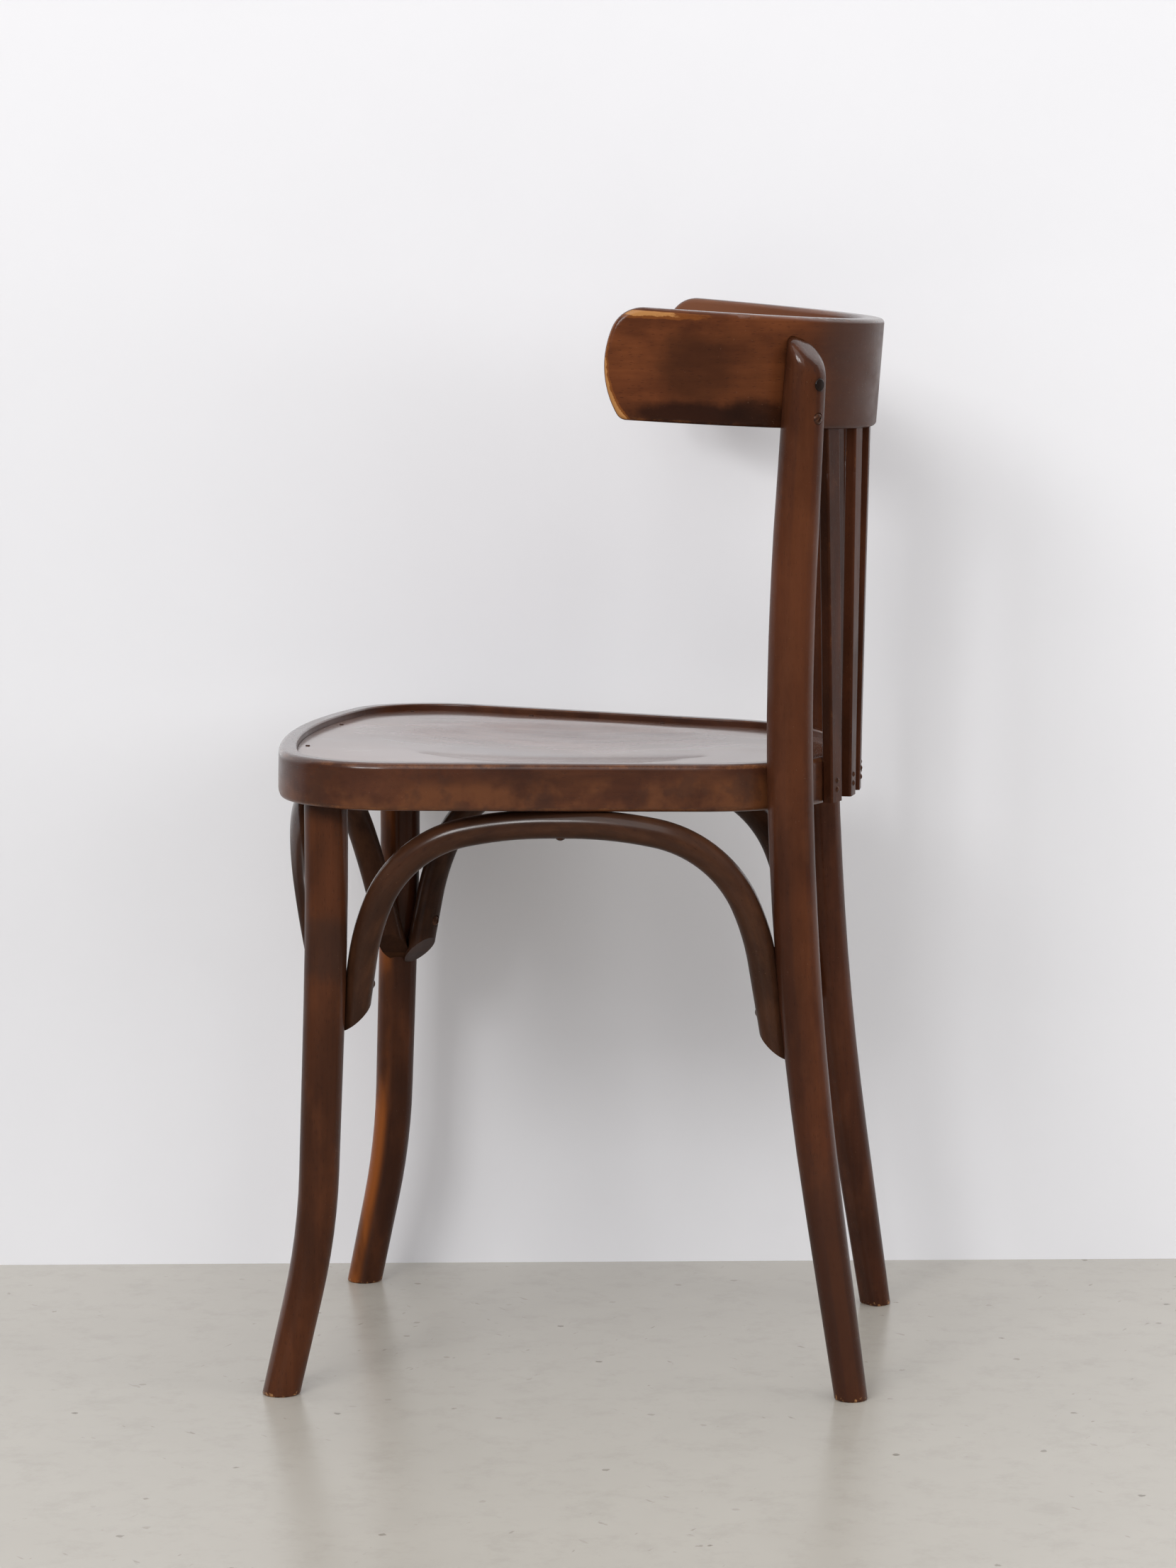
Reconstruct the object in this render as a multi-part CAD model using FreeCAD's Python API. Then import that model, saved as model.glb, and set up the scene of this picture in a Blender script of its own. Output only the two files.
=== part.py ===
import FreeCAD, Part
import math
import os
from FreeCAD import Vector

# A bentwood bistro chair: steam-bent ring seat, two front legs, two long rear posts,
# a bent top rail with short arms, five slats and three bent arches under the seat.
# Frame: +Z up, the sitter faces -Y, +X is the sitter's left. Millimetres.
# Pieces on the right are mirror images of the pieces on the left.

# Seat ring, seen from above: a front arc, two front corners, straight sides that
# draw in towards the back, two rear corners and a rear arc.
# The whole seat tips back about its middle.
SEAT_HEIGHT = 458.0
SEAT_TILT = 1.1
RING_FRONT_Y = -220.0
RING_REAR_Y = 196.0
RING_FRONT_HALF_WIDTH = 203.0
RING_REAR_HALF_WIDTH = 156.0
RING_FRONT_RADIUS = 600.0
RING_FRONT_CORNER_RADIUS = 76.0
RING_REAR_CORNER_RADIUS = 120.0
RING_REAR_RADIUS = 295.0
RING_WIDTH = 39.0
RING_HEIGHT = 33.8
RING_TOP_ROUNDING = 5.0
RING_BOTTOM_ROUNDING = 4.0
RIM_WIDTH = 13.0
RIM_INNER_ROUNDING = 1.5
REBATE_DEPTH = 10.0

# Plywood seat panel, pressed to a shallow dish and dropped into the rebate.
PANEL_THICKNESS = 5.0
PANEL_EDGE_GAP = 0.3
DISH_DEPTH = 7.0
DISH_RADIUS = 132.0
DISH_CENTRE_Y = -20.0
PANEL_PINS_ON_ARC = 2
PANEL_PINS_ON_CORNER = 1
PANEL_PINS_ON_SIDE = 2
PANEL_PIN_INSET = 20.0
PANEL_PIN_LENGTH = 9.0
PANEL_PIN_RADIUS = 0.8
PANEL_PIN_HEAD_RADIUS = 1.6
PANEL_PIN_HEAD_HEIGHT = 0.6

# Front legs: round, straight under the seat, swept forward and outward below.
FRONT_LEG_TOP_RADIUS = 15.5
FRONT_LEG_FOOT_RADIUS = 13.7
FRONT_LEG_INSET = 24.5
FRONT_LEG_ANGLE = 47.0
FRONT_FOOT_SPLAY = 15.0
FRONT_FOOT_SWEEP = 33.7
FRONT_LEAN_START = 400.0
FRONT_LEAN_END = 285.0
FRONT_LEAN_SHARE = 0.2
FRONT_BEND_START = 160.0
FRONT_BEND_END = 70.0
FRONT_BEND_STEPS = 6
FRONT_LEAN_STEPS = 3
FOOT_CHAMFER = 1.0
TENON_RADIUS = 10.0
TENON_LENGTH = 17.0
TENON_ROOT = 4.0
TENON_CLEARANCE = 0.15

# Rear posts: one bent rod each, from the floor to the top rail, flat on the side
# that bears on the ring and the rail.
POST_RING_ANGLE = 47.5
POST_RAIL_ANGLE = 42.0
POST_FACE_ANGLE = 45.5
POST_FLAT_SHARE = 0.78
POST_CORNER_SHARE = 0.62
POST_SEAT_DEPTH = 0.8
POST_RAIL_SEAT_DEPTH = 1.2
POST_FOOT_RADIUS = 12.0
POST_ANKLE_RADIUS = 14.3
POST_KNEE_RADIUS = 16.2
POST_SEAT_RADIUS = 16.5
POST_RAIL_RADIUS = 16.0
POST_TOP_RADIUS = 13.6
ANKLE_SHARE = 0.36
KNEE_SHARE = 0.74
REAR_FOOT_SPLAY = 12.5
REAR_FOOT_SWEEP = 46.9
REAR_BEND_START = 490.0
REAR_BEND_END = 140.0
BACK_BEND_START = 470.0
BACK_BEND_END = 620.0
POST_TOP_ABOVE_RAIL_BOTTOM = 71.0
POST_TOP_ANGLE = 30.0
POST_TOP_SLOPE = 46.0
POST_TOP_ROUNDING = 3.0
POST_TOP_LENGTH = 42.0
REAR_BEND_STEPS = 10
BACK_BEND_STEPS = 5

# Top rail: a bent band that leans back, with rounded arm ends.
RAIL_REAR_Y = 213.0
RAIL_FRONT_Y = 34.3
RAIL_BOTTOM_Z = 688.0
RAIL_HEIGHT = 78.0
RAIL_THICKNESS = 16.0
RAIL_TILT = 4.4
RAIL_REAR_RADIUS = 198.0
RAIL_ARM_RADIUS = 260.0
RAIL_ARM_START_ANGLE = 52.0
RAIL_EDGE_ROUNDING = 3.5
ARM_BULGE_RADIUS = 69.0
ARM_BULGE_HEIGHT = 41.0
ARM_TOP_CORNER_RADIUS = 22.0
ARM_BOTTOM_CORNER_RADIUS = 8.0

# Slats: outside the seat ring at the foot, tenoned into the rail at the top.
SLAT_COUNT = 5
SLAT_WIDTH = 18.0
SLAT_THICKNESS = 8.0
SLAT_CORNER_RADIUS = 1.8
SLAT_FOOT_PITCH = 38.5
SLAT_TOP_PITCH = 42.5
SLAT_FOOT_ABOVE_RING_BOTTOM = 1.5
SLAT_SEAT_DEPTH = 0.5
SLAT_CURVE_POWER = 1.15
SLAT_SECTIONS = 5
SLAT_TENON_WIDTH = 12.0
SLAT_TENON_THICKNESS = 5.0
SLAT_TENON_LENGTH = 15.0
MORTISE_CLEARANCE = 0.1

# Arches: round rods bent to the same form, scarfed and screwed at the legs and
# screwed up into the ring at the crown.
ARCH_RADIUS = 10.4
ARCH_SHOULDER_RADIUS = 89.0
ARCH_LIMB_RADIUS = 180.0
ARCH_BEND_TURNS = (12.0, 67.0, 81.0)
ARCH_SEAT_DEPTH = 0.1
ARCH_LEG_BITE = 0.9
ARCH_BITE_ABOVE_TIP = 14.0
ARCH_SCARF_ANGLE = 45.0
ARCH_SCREW_ABOVE_TIP = 34.0
SIDE_ARCH_CROWN_OUT = 24.0
SIDE_ARCH_CROWN_FLAT = 13.6
SIDE_ARCH_FRONT_DROP = 197.0
SIDE_ARCH_REAR_DROP = 216.0
SIDE_ARCH_FRONT_ANGLE = 41.0
SIDE_ARCH_REAR_ANGLE = 22.0
FRONT_ARCH_DROP = 195.0
FRONT_ARCH_LEG_ANGLE = 0.5
FRONT_ARCH_CROWN_INSET = 20.5
FRONT_ARCH_CROWN_FLAT = 16.7

# Fasteners.
SCREW_HEAD_RADIUS = 4.0
SCREW_HEAD_HEIGHT = 2.4
SCREW_SHANK_RADIUS = 2.0
SCREW_SLOT_WIDTH = 1.0
SCREW_SLOT_DEPTH = 0.9
SCREW_TIP_LENGTH = 4.0
SCREW_GRIP = 13.0
SCREW_HOLE_CLEARANCE = 0.1
SCREW_SPOT_FACE = 0.9
SCREW_SPOT_CLEARANCE = 0.4
SCREW_HOLE_SPARE = 0.5
SCREW_SPOT_REACH = 12.0
RAIL_SCREW_HEIGHTS = (7.7, 31.3)
RAIL_SCREW_RECESSES = (1.0, 4.0)
RAIL_SCREW_ANGLE = 39.0
RAIL_SCREW_GRIP = 12.0
POST_SCREW_SPACING = 10.0
POST_SCREW_RISE = 12.0
NAIL_HEAD_RADIUS = 2.2
NAIL_HEAD_HEIGHT = 1.3
NAIL_SHANK_RADIUS = 1.2
NAIL_GRIP = 12.0
NAIL_HEIGHTS = (10.5, 17.0)

RING_BOTTOM_Z = SEAT_HEIGHT - RING_HEIGHT
LEDGE_Z = SEAT_HEIGHT - REBATE_DEPTH
PANEL_TOP_Z = LEDGE_Z + PANEL_THICKNESS
SIDE_ARCH_FRONT_TIP_Z = SEAT_HEIGHT - SIDE_ARCH_FRONT_DROP
SIDE_ARCH_REAR_TIP_Z = SEAT_HEIGHT - SIDE_ARCH_REAR_DROP
FRONT_ARCH_TIP_Z = SEAT_HEIGHT - FRONT_ARCH_DROP
UP = Vector(0, 0, 1)

# Blocks that cut, larger than what they cut, and the slack for telling edges apart.
FAR = 1000.0
SAW_SIZE = 120.0
TOUCH = 0.01


def plan(x, y, z=0.0):
    return Vector(x, y, z)


def turned(angle):
    """Unit vector in plan, at an angle in degrees from +Y towards +X."""
    a = math.radians(angle)
    return Vector(math.sin(a), math.cos(a), 0)


def mirrored(shape):
    """The same piece on the sitter's right."""
    return shape.mirror(Vector(0, 0, 0), Vector(1, 0, 0))


def tipped(shape):
    """Tips something that was drawn on the level seat back with the seat."""
    shape.rotate(Vector(0, 0, SEAT_HEIGHT), Vector(1, 0, 0), -SEAT_TILT)
    return shape


def tipped_point(point):
    turn = FreeCAD.Rotation(Vector(1, 0, 0), -SEAT_TILT)
    pivot = Vector(0, 0, SEAT_HEIGHT)
    return turn.multVec(point - pivot) + pivot


def underside_z(y):
    """Height of the tipped ring's underside at a distance behind the middle."""
    t = math.radians(SEAT_TILT)
    return SEAT_HEIGHT - (y * math.sin(t) + RING_HEIGHT) / math.cos(t)


def above_underside():
    """Block that removes whatever would reach up into the ring."""
    block = Part.makeBox(FAR, FAR, 2 * RING_HEIGHT, Vector(-FAR / 2, -FAR / 2, RING_BOTTOM_Z))
    return tipped(block)


def arc(a, b, c):
    return Part.Arc(a, b, c).toShape()


def line(a, b):
    return Part.LineSegment(a, b).toShape()


def prism(wire, height):
    return Part.Face(wire).extrude(Vector(0, 0, height))


def ramp(drop, start, end):
    """Height-like value that starts flat, bends, and then runs at a steady slope."""
    if drop <= start:
        return 0.0
    if drop < end:
        return (drop - start) ** 2 / (2 * (end - start))
    return drop - (start + end) / 2


def steps(start, end, count):
    """Evenly spaced values from start to end, both included."""
    return [start + (end - start) * i / count for i in range(count + 1)]


def rod_through(heights, section):
    """Rod through level sections, with the lower edge of its foot taken off."""
    rod = Part.makeLoft([section(z) for z in sorted(set(heights))], True, True)
    foot = [e for e in rod.Edges if e.BoundBox.ZMax < TOUCH]
    return rod.makeChamfer(FOOT_CHAMFER, foot)


def ring_centres():
    """Centres of the front corner and rear corner arcs, and the side's normal."""
    front_arc_y = RING_FRONT_Y + RING_FRONT_RADIUS
    rear_arc_y = RING_REAR_Y - RING_REAR_RADIUS
    front_x = RING_FRONT_HALF_WIDTH - RING_FRONT_CORNER_RADIUS
    rear_x = RING_REAR_HALF_WIDTH - RING_REAR_CORNER_RADIUS
    front_reach = RING_FRONT_RADIUS - RING_FRONT_CORNER_RADIUS
    rear_reach = RING_REAR_RADIUS - RING_REAR_CORNER_RADIUS
    front = plan(front_x, front_arc_y - math.sqrt(front_reach ** 2 - front_x ** 2))
    rear = plan(rear_x, rear_arc_y + math.sqrt(rear_reach ** 2 - rear_x ** 2))
    run = rear - front
    lead = math.atan2(run.y, run.x)
    turn = math.acos((RING_FRONT_CORNER_RADIUS - RING_REAR_CORNER_RADIUS) / run.Length)
    side = plan(math.cos(lead - turn), math.sin(lead - turn))
    return front, rear, side


def ring_outline(inset, z):
    """Closed wire of the ring's plan, drawn in by the given distance."""
    front, rear, side = ring_centres()
    front_out = (front - plan(0, RING_FRONT_Y + RING_FRONT_RADIUS)).normalize()
    rear_out = (rear - plan(0, RING_REAR_Y - RING_REAR_RADIUS)).normalize()
    front_mid = (front_out + side).normalize()
    rear_mid = (side + rear_out).normalize()
    front_r = RING_FRONT_CORNER_RADIUS - inset
    rear_r = RING_REAR_CORNER_RADIUS - inset
    right = [front + front_out * front_r, front + front_mid * front_r, front + side * front_r,
             rear + side * rear_r, rear + rear_mid * rear_r, rear + rear_out * rear_r]
    left = [plan(-p.x, p.y) for p in right]
    edges = [
        arc(left[0], plan(0, RING_FRONT_Y + inset), right[0]),
        arc(right[0], right[1], right[2]),
        line(right[2], right[3]),
        arc(right[3], right[4], right[5]),
        arc(right[5], plan(0, RING_REAR_Y - inset), left[5]),
        arc(left[5], left[4], left[3]),
        line(left[3], left[2]),
        arc(left[2], left[1], left[0]),
    ]
    wire = Part.Wire(edges)
    wire.translate(Vector(0, 0, z))
    return wire


def edges_on(shape, wire):
    """Edges of a shape whose middle lies on a wire."""
    found = []
    for edge in shape.Edges:
        middle = edge.valueAt((edge.FirstParameter + edge.LastParameter) / 2)
        if Part.Vertex(middle).distToShape(wire)[0] < TOUCH:
            found.append(edge)
    return found


def make_ring():
    ring = prism(ring_outline(0, RING_BOTTOM_Z), RING_HEIGHT)
    ring = ring.cut(prism(ring_outline(RING_WIDTH, RING_BOTTOM_Z), RING_HEIGHT))
    ring = ring.cut(prism(ring_outline(RIM_WIDTH, LEDGE_Z), REBATE_DEPTH))
    ring = ring.makeFillet(RING_TOP_ROUNDING, edges_on(ring, ring_outline(0, SEAT_HEIGHT)))
    ring = ring.makeFillet(RING_BOTTOM_ROUNDING, edges_on(ring, ring_outline(0, RING_BOTTOM_Z)))
    ring = ring.makeFillet(RIM_INNER_ROUNDING, edges_on(ring, ring_outline(RIM_WIDTH, SEAT_HEIGHT)))
    return tipped(ring)


def ring_rear(x):
    """Point and outward angle of the ring's rear outline, at a distance from the middle."""
    front, rear, side = ring_centres()
    centre = plan(0, RING_REAR_Y - RING_REAR_RADIUS)
    radius = RING_REAR_RADIUS
    join = (RING_REAR_RADIUS * rear.x) / (RING_REAR_RADIUS - RING_REAR_CORNER_RADIUS)
    if abs(x) > join:
        centre = rear
        radius = RING_REAR_CORNER_RADIUS
    angle = math.degrees(math.asin((abs(x) - centre.x) / radius))
    point = centre + turned(angle) * radius
    if x < 0:
        return plan(-point.x, point.y), -angle
    return point, angle


def make_panel():
    """Plate of one thickness with a round dish pressed into it."""
    ball_radius = (DISH_RADIUS ** 2 + DISH_DEPTH ** 2) / (2 * DISH_DEPTH)
    centre = Vector(0, DISH_CENTRE_Y, PANEL_TOP_Z - DISH_DEPTH + ball_radius)
    along = Vector(0, 1, 0)
    plate = prism(ring_outline(RIM_WIDTH + PANEL_EDGE_GAP, LEDGE_Z), PANEL_THICKNESS)
    bulge = Part.makeSphere(ball_radius + PANEL_THICKNESS, centre, along)
    slab = Part.makeBox(4 * DISH_RADIUS, 4 * DISH_RADIUS, 2 * DISH_DEPTH + PANEL_THICKNESS)
    slab.translate(Vector(-2 * DISH_RADIUS, DISH_CENTRE_Y - 2 * DISH_RADIUS,
                          LEDGE_Z - 2 * DISH_DEPTH - PANEL_THICKNESS))
    plate = plate.fuse(bulge.common(slab))
    return tipped(plate.cut(Part.makeSphere(ball_radius, centre, along)).removeSplitter())


def front_leg_top():
    front, rear, side = ring_centres()
    a = math.radians(FRONT_LEG_ANGLE)
    reach = RING_FRONT_CORNER_RADIUS - FRONT_LEG_INSET
    return front + plan(math.cos(a), -math.sin(a)) * reach


def front_leg_share(z):
    """How much of the foot's sweep the leg has made at a height, from 0 to 1."""
    def sweep(height):
        drop = SEAT_HEIGHT - height
        lean = ramp(drop, SEAT_HEIGHT - FRONT_LEAN_START, SEAT_HEIGHT - FRONT_LEAN_END)
        bend = ramp(drop, SEAT_HEIGHT - FRONT_BEND_START, SEAT_HEIGHT - FRONT_BEND_END)
        return FRONT_LEAN_SHARE * lean + bend
    return sweep(z) / sweep(0)


def front_leg_centre(z):
    share = front_leg_share(z)
    top = front_leg_top()
    return plan(top.x + share * FRONT_FOOT_SPLAY, top.y - share * FRONT_FOOT_SWEEP, z)


def front_leg_radius(z):
    run = min(z / FRONT_LEAN_START, 1.0)
    return FRONT_LEG_FOOT_RADIUS + run * (FRONT_LEG_TOP_RADIUS - FRONT_LEG_FOOT_RADIUS)


def front_leg_tenon(clearance):
    """Round tongue on the leg's top, or with a clearance the socket that it fits."""
    root = front_leg_centre(underside_z(front_leg_top().y) - TENON_ROOT)
    height = TENON_ROOT + TENON_LENGTH + 5 * clearance
    return Part.makeCylinder(TENON_RADIUS + clearance, height, root, UP)


def front_leg_section(z):
    return Part.Wire(Part.makeCircle(front_leg_radius(z), front_leg_centre(z), UP))


def make_front_leg():
    heights = [0.0, SEAT_HEIGHT]
    heights += steps(FRONT_BEND_END, FRONT_BEND_START, FRONT_BEND_STEPS)
    heights += steps(FRONT_LEAN_END, FRONT_LEAN_START, FRONT_LEAN_STEPS)
    leg = rod_through(heights, front_leg_section)
    return leg.cut(above_underside()).fuse(front_leg_tenon(0))


def rail_to_world(point):
    """Leans a point of the upright rail back about its rear lower edge."""
    t = math.radians(RAIL_TILT)
    back = point.y - RAIL_REAR_Y
    y = RAIL_REAR_Y + back * math.cos(t) + point.z * math.sin(t)
    z = RAIL_BOTTOM_Z - back * math.sin(t) + point.z * math.cos(t)
    return Vector(point.x, y, z)


def post_ring_point():
    """Post centre beside the ring, in plan."""
    front, rear, side = ring_centres()
    reach = RING_REAR_CORNER_RADIUS - POST_SEAT_DEPTH + POST_FLAT_SHARE * POST_SEAT_RADIUS
    return rear + turned(POST_RING_ANGLE) * reach


def post_rail_point():
    """Post centre beside the rail, at half the rail's height."""
    half = RAIL_HEIGHT / 2
    centre = plan(0, RAIL_REAR_Y - RAIL_REAR_RADIUS, half)
    on_rail = rail_to_world(centre + turned(POST_RAIL_ANGLE) * RAIL_REAR_RADIUS)
    reach = POST_FLAT_SHARE * POST_TOP_RADIUS - POST_RAIL_SEAT_DEPTH
    return on_rail + turned(POST_FACE_ANGLE) * reach


def post_centre(z):
    foot = plan(REAR_FOOT_SPLAY, REAR_FOOT_SWEEP)
    ring = post_ring_point()
    rail = post_rail_point()
    low = ramp(SEAT_HEIGHT - z, SEAT_HEIGHT - REAR_BEND_START, SEAT_HEIGHT - REAR_BEND_END)
    low_all = ramp(SEAT_HEIGHT, SEAT_HEIGHT - REAR_BEND_START, SEAT_HEIGHT - REAR_BEND_END)
    high = ramp(z, BACK_BEND_START, BACK_BEND_END)
    high_all = ramp(rail.z, BACK_BEND_START, BACK_BEND_END)
    back = plan(rail.x - ring.x, rail.y - ring.y)
    centre = ring + foot * (low / low_all) + back * (high / high_all)
    return plan(centre.x, centre.y, z)


def post_radius(z):
    heights = [0.0, ANKLE_SHARE * SEAT_HEIGHT, KNEE_SHARE * SEAT_HEIGHT, SEAT_HEIGHT,
               post_top_z() - RAIL_HEIGHT, post_top_z()]
    radii = [POST_FOOT_RADIUS, POST_ANKLE_RADIUS, POST_KNEE_RADIUS, POST_SEAT_RADIUS,
             POST_RAIL_RADIUS, POST_TOP_RADIUS]
    for i in range(1, len(heights)):
        if z <= heights[i]:
            run = (z - heights[i - 1]) / (heights[i] - heights[i - 1])
            return radii[i - 1] + run * (radii[i] - radii[i - 1])
    return radii[-1]


def post_top_z():
    return post_rail_point().z - RAIL_HEIGHT / 2 + POST_TOP_ABOVE_RAIL_BOTTOM


def post_section(z):
    """Round section with one flat side towards the ring and the rail."""
    centre = post_centre(z)
    r = post_radius(z)
    flat = POST_FLAT_SHARE * r
    corner = POST_CORNER_SHARE * r
    inward = turned(POST_FACE_ANGLE) * -1
    along = turned(POST_FACE_ANGLE + 90)
    reach = math.sqrt((r - corner) ** 2 - (flat - corner) ** 2)
    bend = math.atan2(reach, flat - corner) / 2

    def at(side, deep):
        return centre + along * side + inward * deep

    def corner_middle(sign):
        return at(sign * (reach + corner * math.sin(bend)), flat - corner + corner * math.cos(bend))

    grow = r / (r - corner)
    edges = [
        line(at(-reach, flat), at(reach, flat)),
        arc(at(reach, flat), corner_middle(1), at(reach * grow, (flat - corner) * grow)),
        arc(at(reach * grow, (flat - corner) * grow), at(0, -r),
            at(-reach * grow, (flat - corner) * grow)),
        arc(at(-reach * grow, (flat - corner) * grow), corner_middle(-1), at(-reach, flat)),
    ]
    return Part.Wire(edges)


def make_post():
    heights = [0.0, post_top_z() - POST_TOP_LENGTH, post_top_z() + POST_TOP_ROUNDING]
    heights += steps(REAR_BEND_END, REAR_BEND_START, REAR_BEND_STEPS)
    heights += steps(REAR_BEND_START, BACK_BEND_END, BACK_BEND_STEPS)
    post = rod_through(heights, post_section)
    centre = post_centre(post_top_z())
    out = turned(POST_TOP_ANGLE)
    ridge = centre - out * post_radius(post_top_z())
    saw = Part.makeBox(SAW_SIZE, SAW_SIZE, SAW_SIZE, Vector(-SAW_SIZE / 2, -SAW_SIZE / 12, 0))
    slope = FreeCAD.Rotation(Vector(1, 0, 0), -POST_TOP_SLOPE)
    face = FreeCAD.Rotation(UP, -POST_TOP_ANGLE)
    saw.Placement = FreeCAD.Placement(plan(ridge.x, ridge.y, post_top_z()), face.multiply(slope))
    post = post.cut(saw)
    slant = max(post.Faces, key=lambda face: face.CenterOfMass.z)
    return post.makeFillet(POST_TOP_ROUNDING, slant.Edges)


def rail_outline(inset):
    """Outer or inner edge of the rail's plan, as points and arc middles."""
    centre = plan(0, RAIL_REAR_Y - RAIL_REAR_RADIUS)
    start = turned(RAIL_ARM_START_ANGLE)
    arm_centre = centre + start * (RAIL_REAR_RADIUS - RAIL_ARM_RADIUS)
    arm_r = RAIL_ARM_RADIUS - inset
    reach = (RAIL_FRONT_Y - RAIL_THICKNESS - arm_centre.y) / RAIL_ARM_RADIUS
    end_angle = math.degrees(math.acos(reach))
    join = centre + start * (RAIL_REAR_RADIUS - inset)
    middle = arm_centre + turned((RAIL_ARM_START_ANGLE + end_angle) / 2) * arm_r
    end = arm_centre + turned(end_angle) * arm_r
    rear = plan(0, RAIL_REAR_Y - inset)
    return join, middle, end, rear


def rail_band():
    """Upright band with square ends."""
    join, middle, end, rear = rail_outline(0)
    in_join, in_middle, in_end, in_rear = rail_outline(RAIL_THICKNESS)

    def flip(p):
        return plan(-p.x, p.y)

    edges = [
        arc(end, middle, join),
        arc(join, rear, flip(join)),
        arc(flip(join), flip(middle), flip(end)),
        line(flip(end), flip(in_end)),
        arc(flip(in_end), flip(in_middle), flip(in_join)),
        arc(flip(in_join), in_rear, in_join),
        arc(in_join, in_middle, in_end),
        line(in_end, end),
    ]
    return prism(Part.Wire(edges), RAIL_HEIGHT)


def arm_profile():
    """Side view of the rail: rounded arm end in front, open behind."""
    bulge = Vector(0, RAIL_FRONT_Y + ARM_BULGE_RADIUS, ARM_BULGE_HEIGHT)

    def corner(radius, z):
        reach = math.sqrt((ARM_BULGE_RADIUS - radius) ** 2 - (z - ARM_BULGE_HEIGHT) ** 2)
        return Vector(0, bulge.y - reach, z)

    top = corner(ARM_TOP_CORNER_RADIUS, RAIL_HEIGHT - ARM_TOP_CORNER_RADIUS)
    low = corner(ARM_BOTTOM_CORNER_RADIUS, ARM_BOTTOM_CORNER_RADIUS)
    top_out = (top - bulge).normalize()
    low_out = (low - bulge).normalize()
    top_join = bulge + top_out * ARM_BULGE_RADIUS
    low_join = bulge + low_out * ARM_BULGE_RADIUS
    top_end = Vector(0, top.y, RAIL_HEIGHT)
    low_end = Vector(0, low.y, 0)
    top_mid = top + (top_out + UP).normalize() * ARM_TOP_CORNER_RADIUS
    low_mid = low + (low_out - UP).normalize() * ARM_BOTTOM_CORNER_RADIUS
    tip = Vector(0, RAIL_FRONT_Y, ARM_BULGE_HEIGHT)
    back = RAIL_REAR_Y + RAIL_THICKNESS
    edges = [
        arc(top_end, top_mid, top_join),
        arc(top_join, tip, low_join),
        arc(low_join, low_mid, low_end),
        line(low_end, Vector(0, back, 0)),
        line(Vector(0, back, 0), Vector(0, back, RAIL_HEIGHT)),
        line(Vector(0, back, RAIL_HEIGHT), top_end),
    ]
    face = Part.Face(Part.Wire(edges))
    face.translate(Vector(-FAR / 2, 0, 0))
    return face.extrude(Vector(FAR, 0, 0))


def band_edges(shape):
    """Edges between the band's two broad faces and its narrow sides."""
    seen = []
    for face in shape.Faces:
        upright = isinstance(face.Surface, Part.Cylinder) and abs(face.Surface.Axis.z) > 0.99
        if upright:
            for edge in face.Edges:
                seen.append(edge)
    return [e for e in seen if sum(1 for other in seen if other.isSame(e)) == 1]


def make_rail():
    rail = rail_band().common(arm_profile())
    rail = rail.makeFillet(RAIL_EDGE_ROUNDING, band_edges(rail))
    rail.rotate(Vector(0, RAIL_REAR_Y, 0), Vector(1, 0, 0), -RAIL_TILT)
    rail.translate(Vector(0, 0, RAIL_BOTTOM_Z))
    return rail


def slat_foot(index):
    """Centre and outward direction of a slat's foot, on the outside of the ring."""
    point, angle = ring_rear(index * SLAT_FOOT_PITCH)
    return point + turned(angle) * (SLAT_THICKNESS / 2 - SLAT_SEAT_DEPTH), angle


def slat_top(index):
    """Centre and outward direction of a slat's shoulder, in the rail's thickness."""
    offset = index * SLAT_TOP_PITCH
    reach = RAIL_REAR_RADIUS - RAIL_THICKNESS / 2
    angle = math.degrees(math.asin(offset / reach))
    upright = plan(0, RAIL_REAR_Y - RAIL_REAR_RADIUS) + turned(angle) * reach
    return rail_to_world(upright), angle


def slat_section(centre, angle, width, thickness, corner):
    """Rounded rectangle in plan, broad side facing outward."""
    out = turned(angle)
    along = turned(angle + 90)
    w = width / 2
    t = thickness / 2
    k = corner * (1 - math.sqrt(0.5))

    def at(side, deep):
        return centre + along * side + out * deep

    edges = []
    for sx, sy in ((1, 1), (1, -1), (-1, -1), (-1, 1)):
        along_end = at(sx * (w - corner), sy * t)
        side_end = at(sx * w, sy * (t - corner))
        middle = at(sx * (w - k), sy * (t - k))
        first, last = (along_end, side_end) if sx == sy else (side_end, along_end)
        if edges:
            edges.append(line(edges[-1].Vertexes[-1].Point, first))
        edges.append(arc(first, middle, last))
    edges.append(line(edges[-1].Vertexes[-1].Point, edges[0].Vertexes[0].Point))
    return Part.Wire(edges)


def slat_tenon(index, clearance):
    """Tongue at a slat's top, or with a clearance the mortise that it fits."""
    top, angle = slat_top(index)
    wire = slat_section(plan(top.x, top.y), angle, SLAT_TENON_WIDTH + 2 * clearance,
                        SLAT_TENON_THICKNESS + 2 * clearance, SLAT_CORNER_RADIUS)
    wire.translate(Vector(0, 0, top.z - SLAT_THICKNESS))
    return prism(wire, SLAT_THICKNESS + SLAT_TENON_LENGTH + 5 * clearance)


def slat_share(index, z):
    """How far a slat has come at a height, from 0 at its foot to 1 at its shoulder."""
    low = underside_z(slat_foot(index)[0].y)
    run = (z - low) / (slat_top(index)[0].z - low)
    return max(run, 0.0) ** SLAT_CURVE_POWER


def slat_centre(index, z):
    foot = slat_foot(index)[0]
    top = slat_top(index)[0]
    share = slat_share(index, z)
    return plan(foot.x + share * (top.x - foot.x), foot.y + share * (top.y - foot.y), z)


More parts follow.
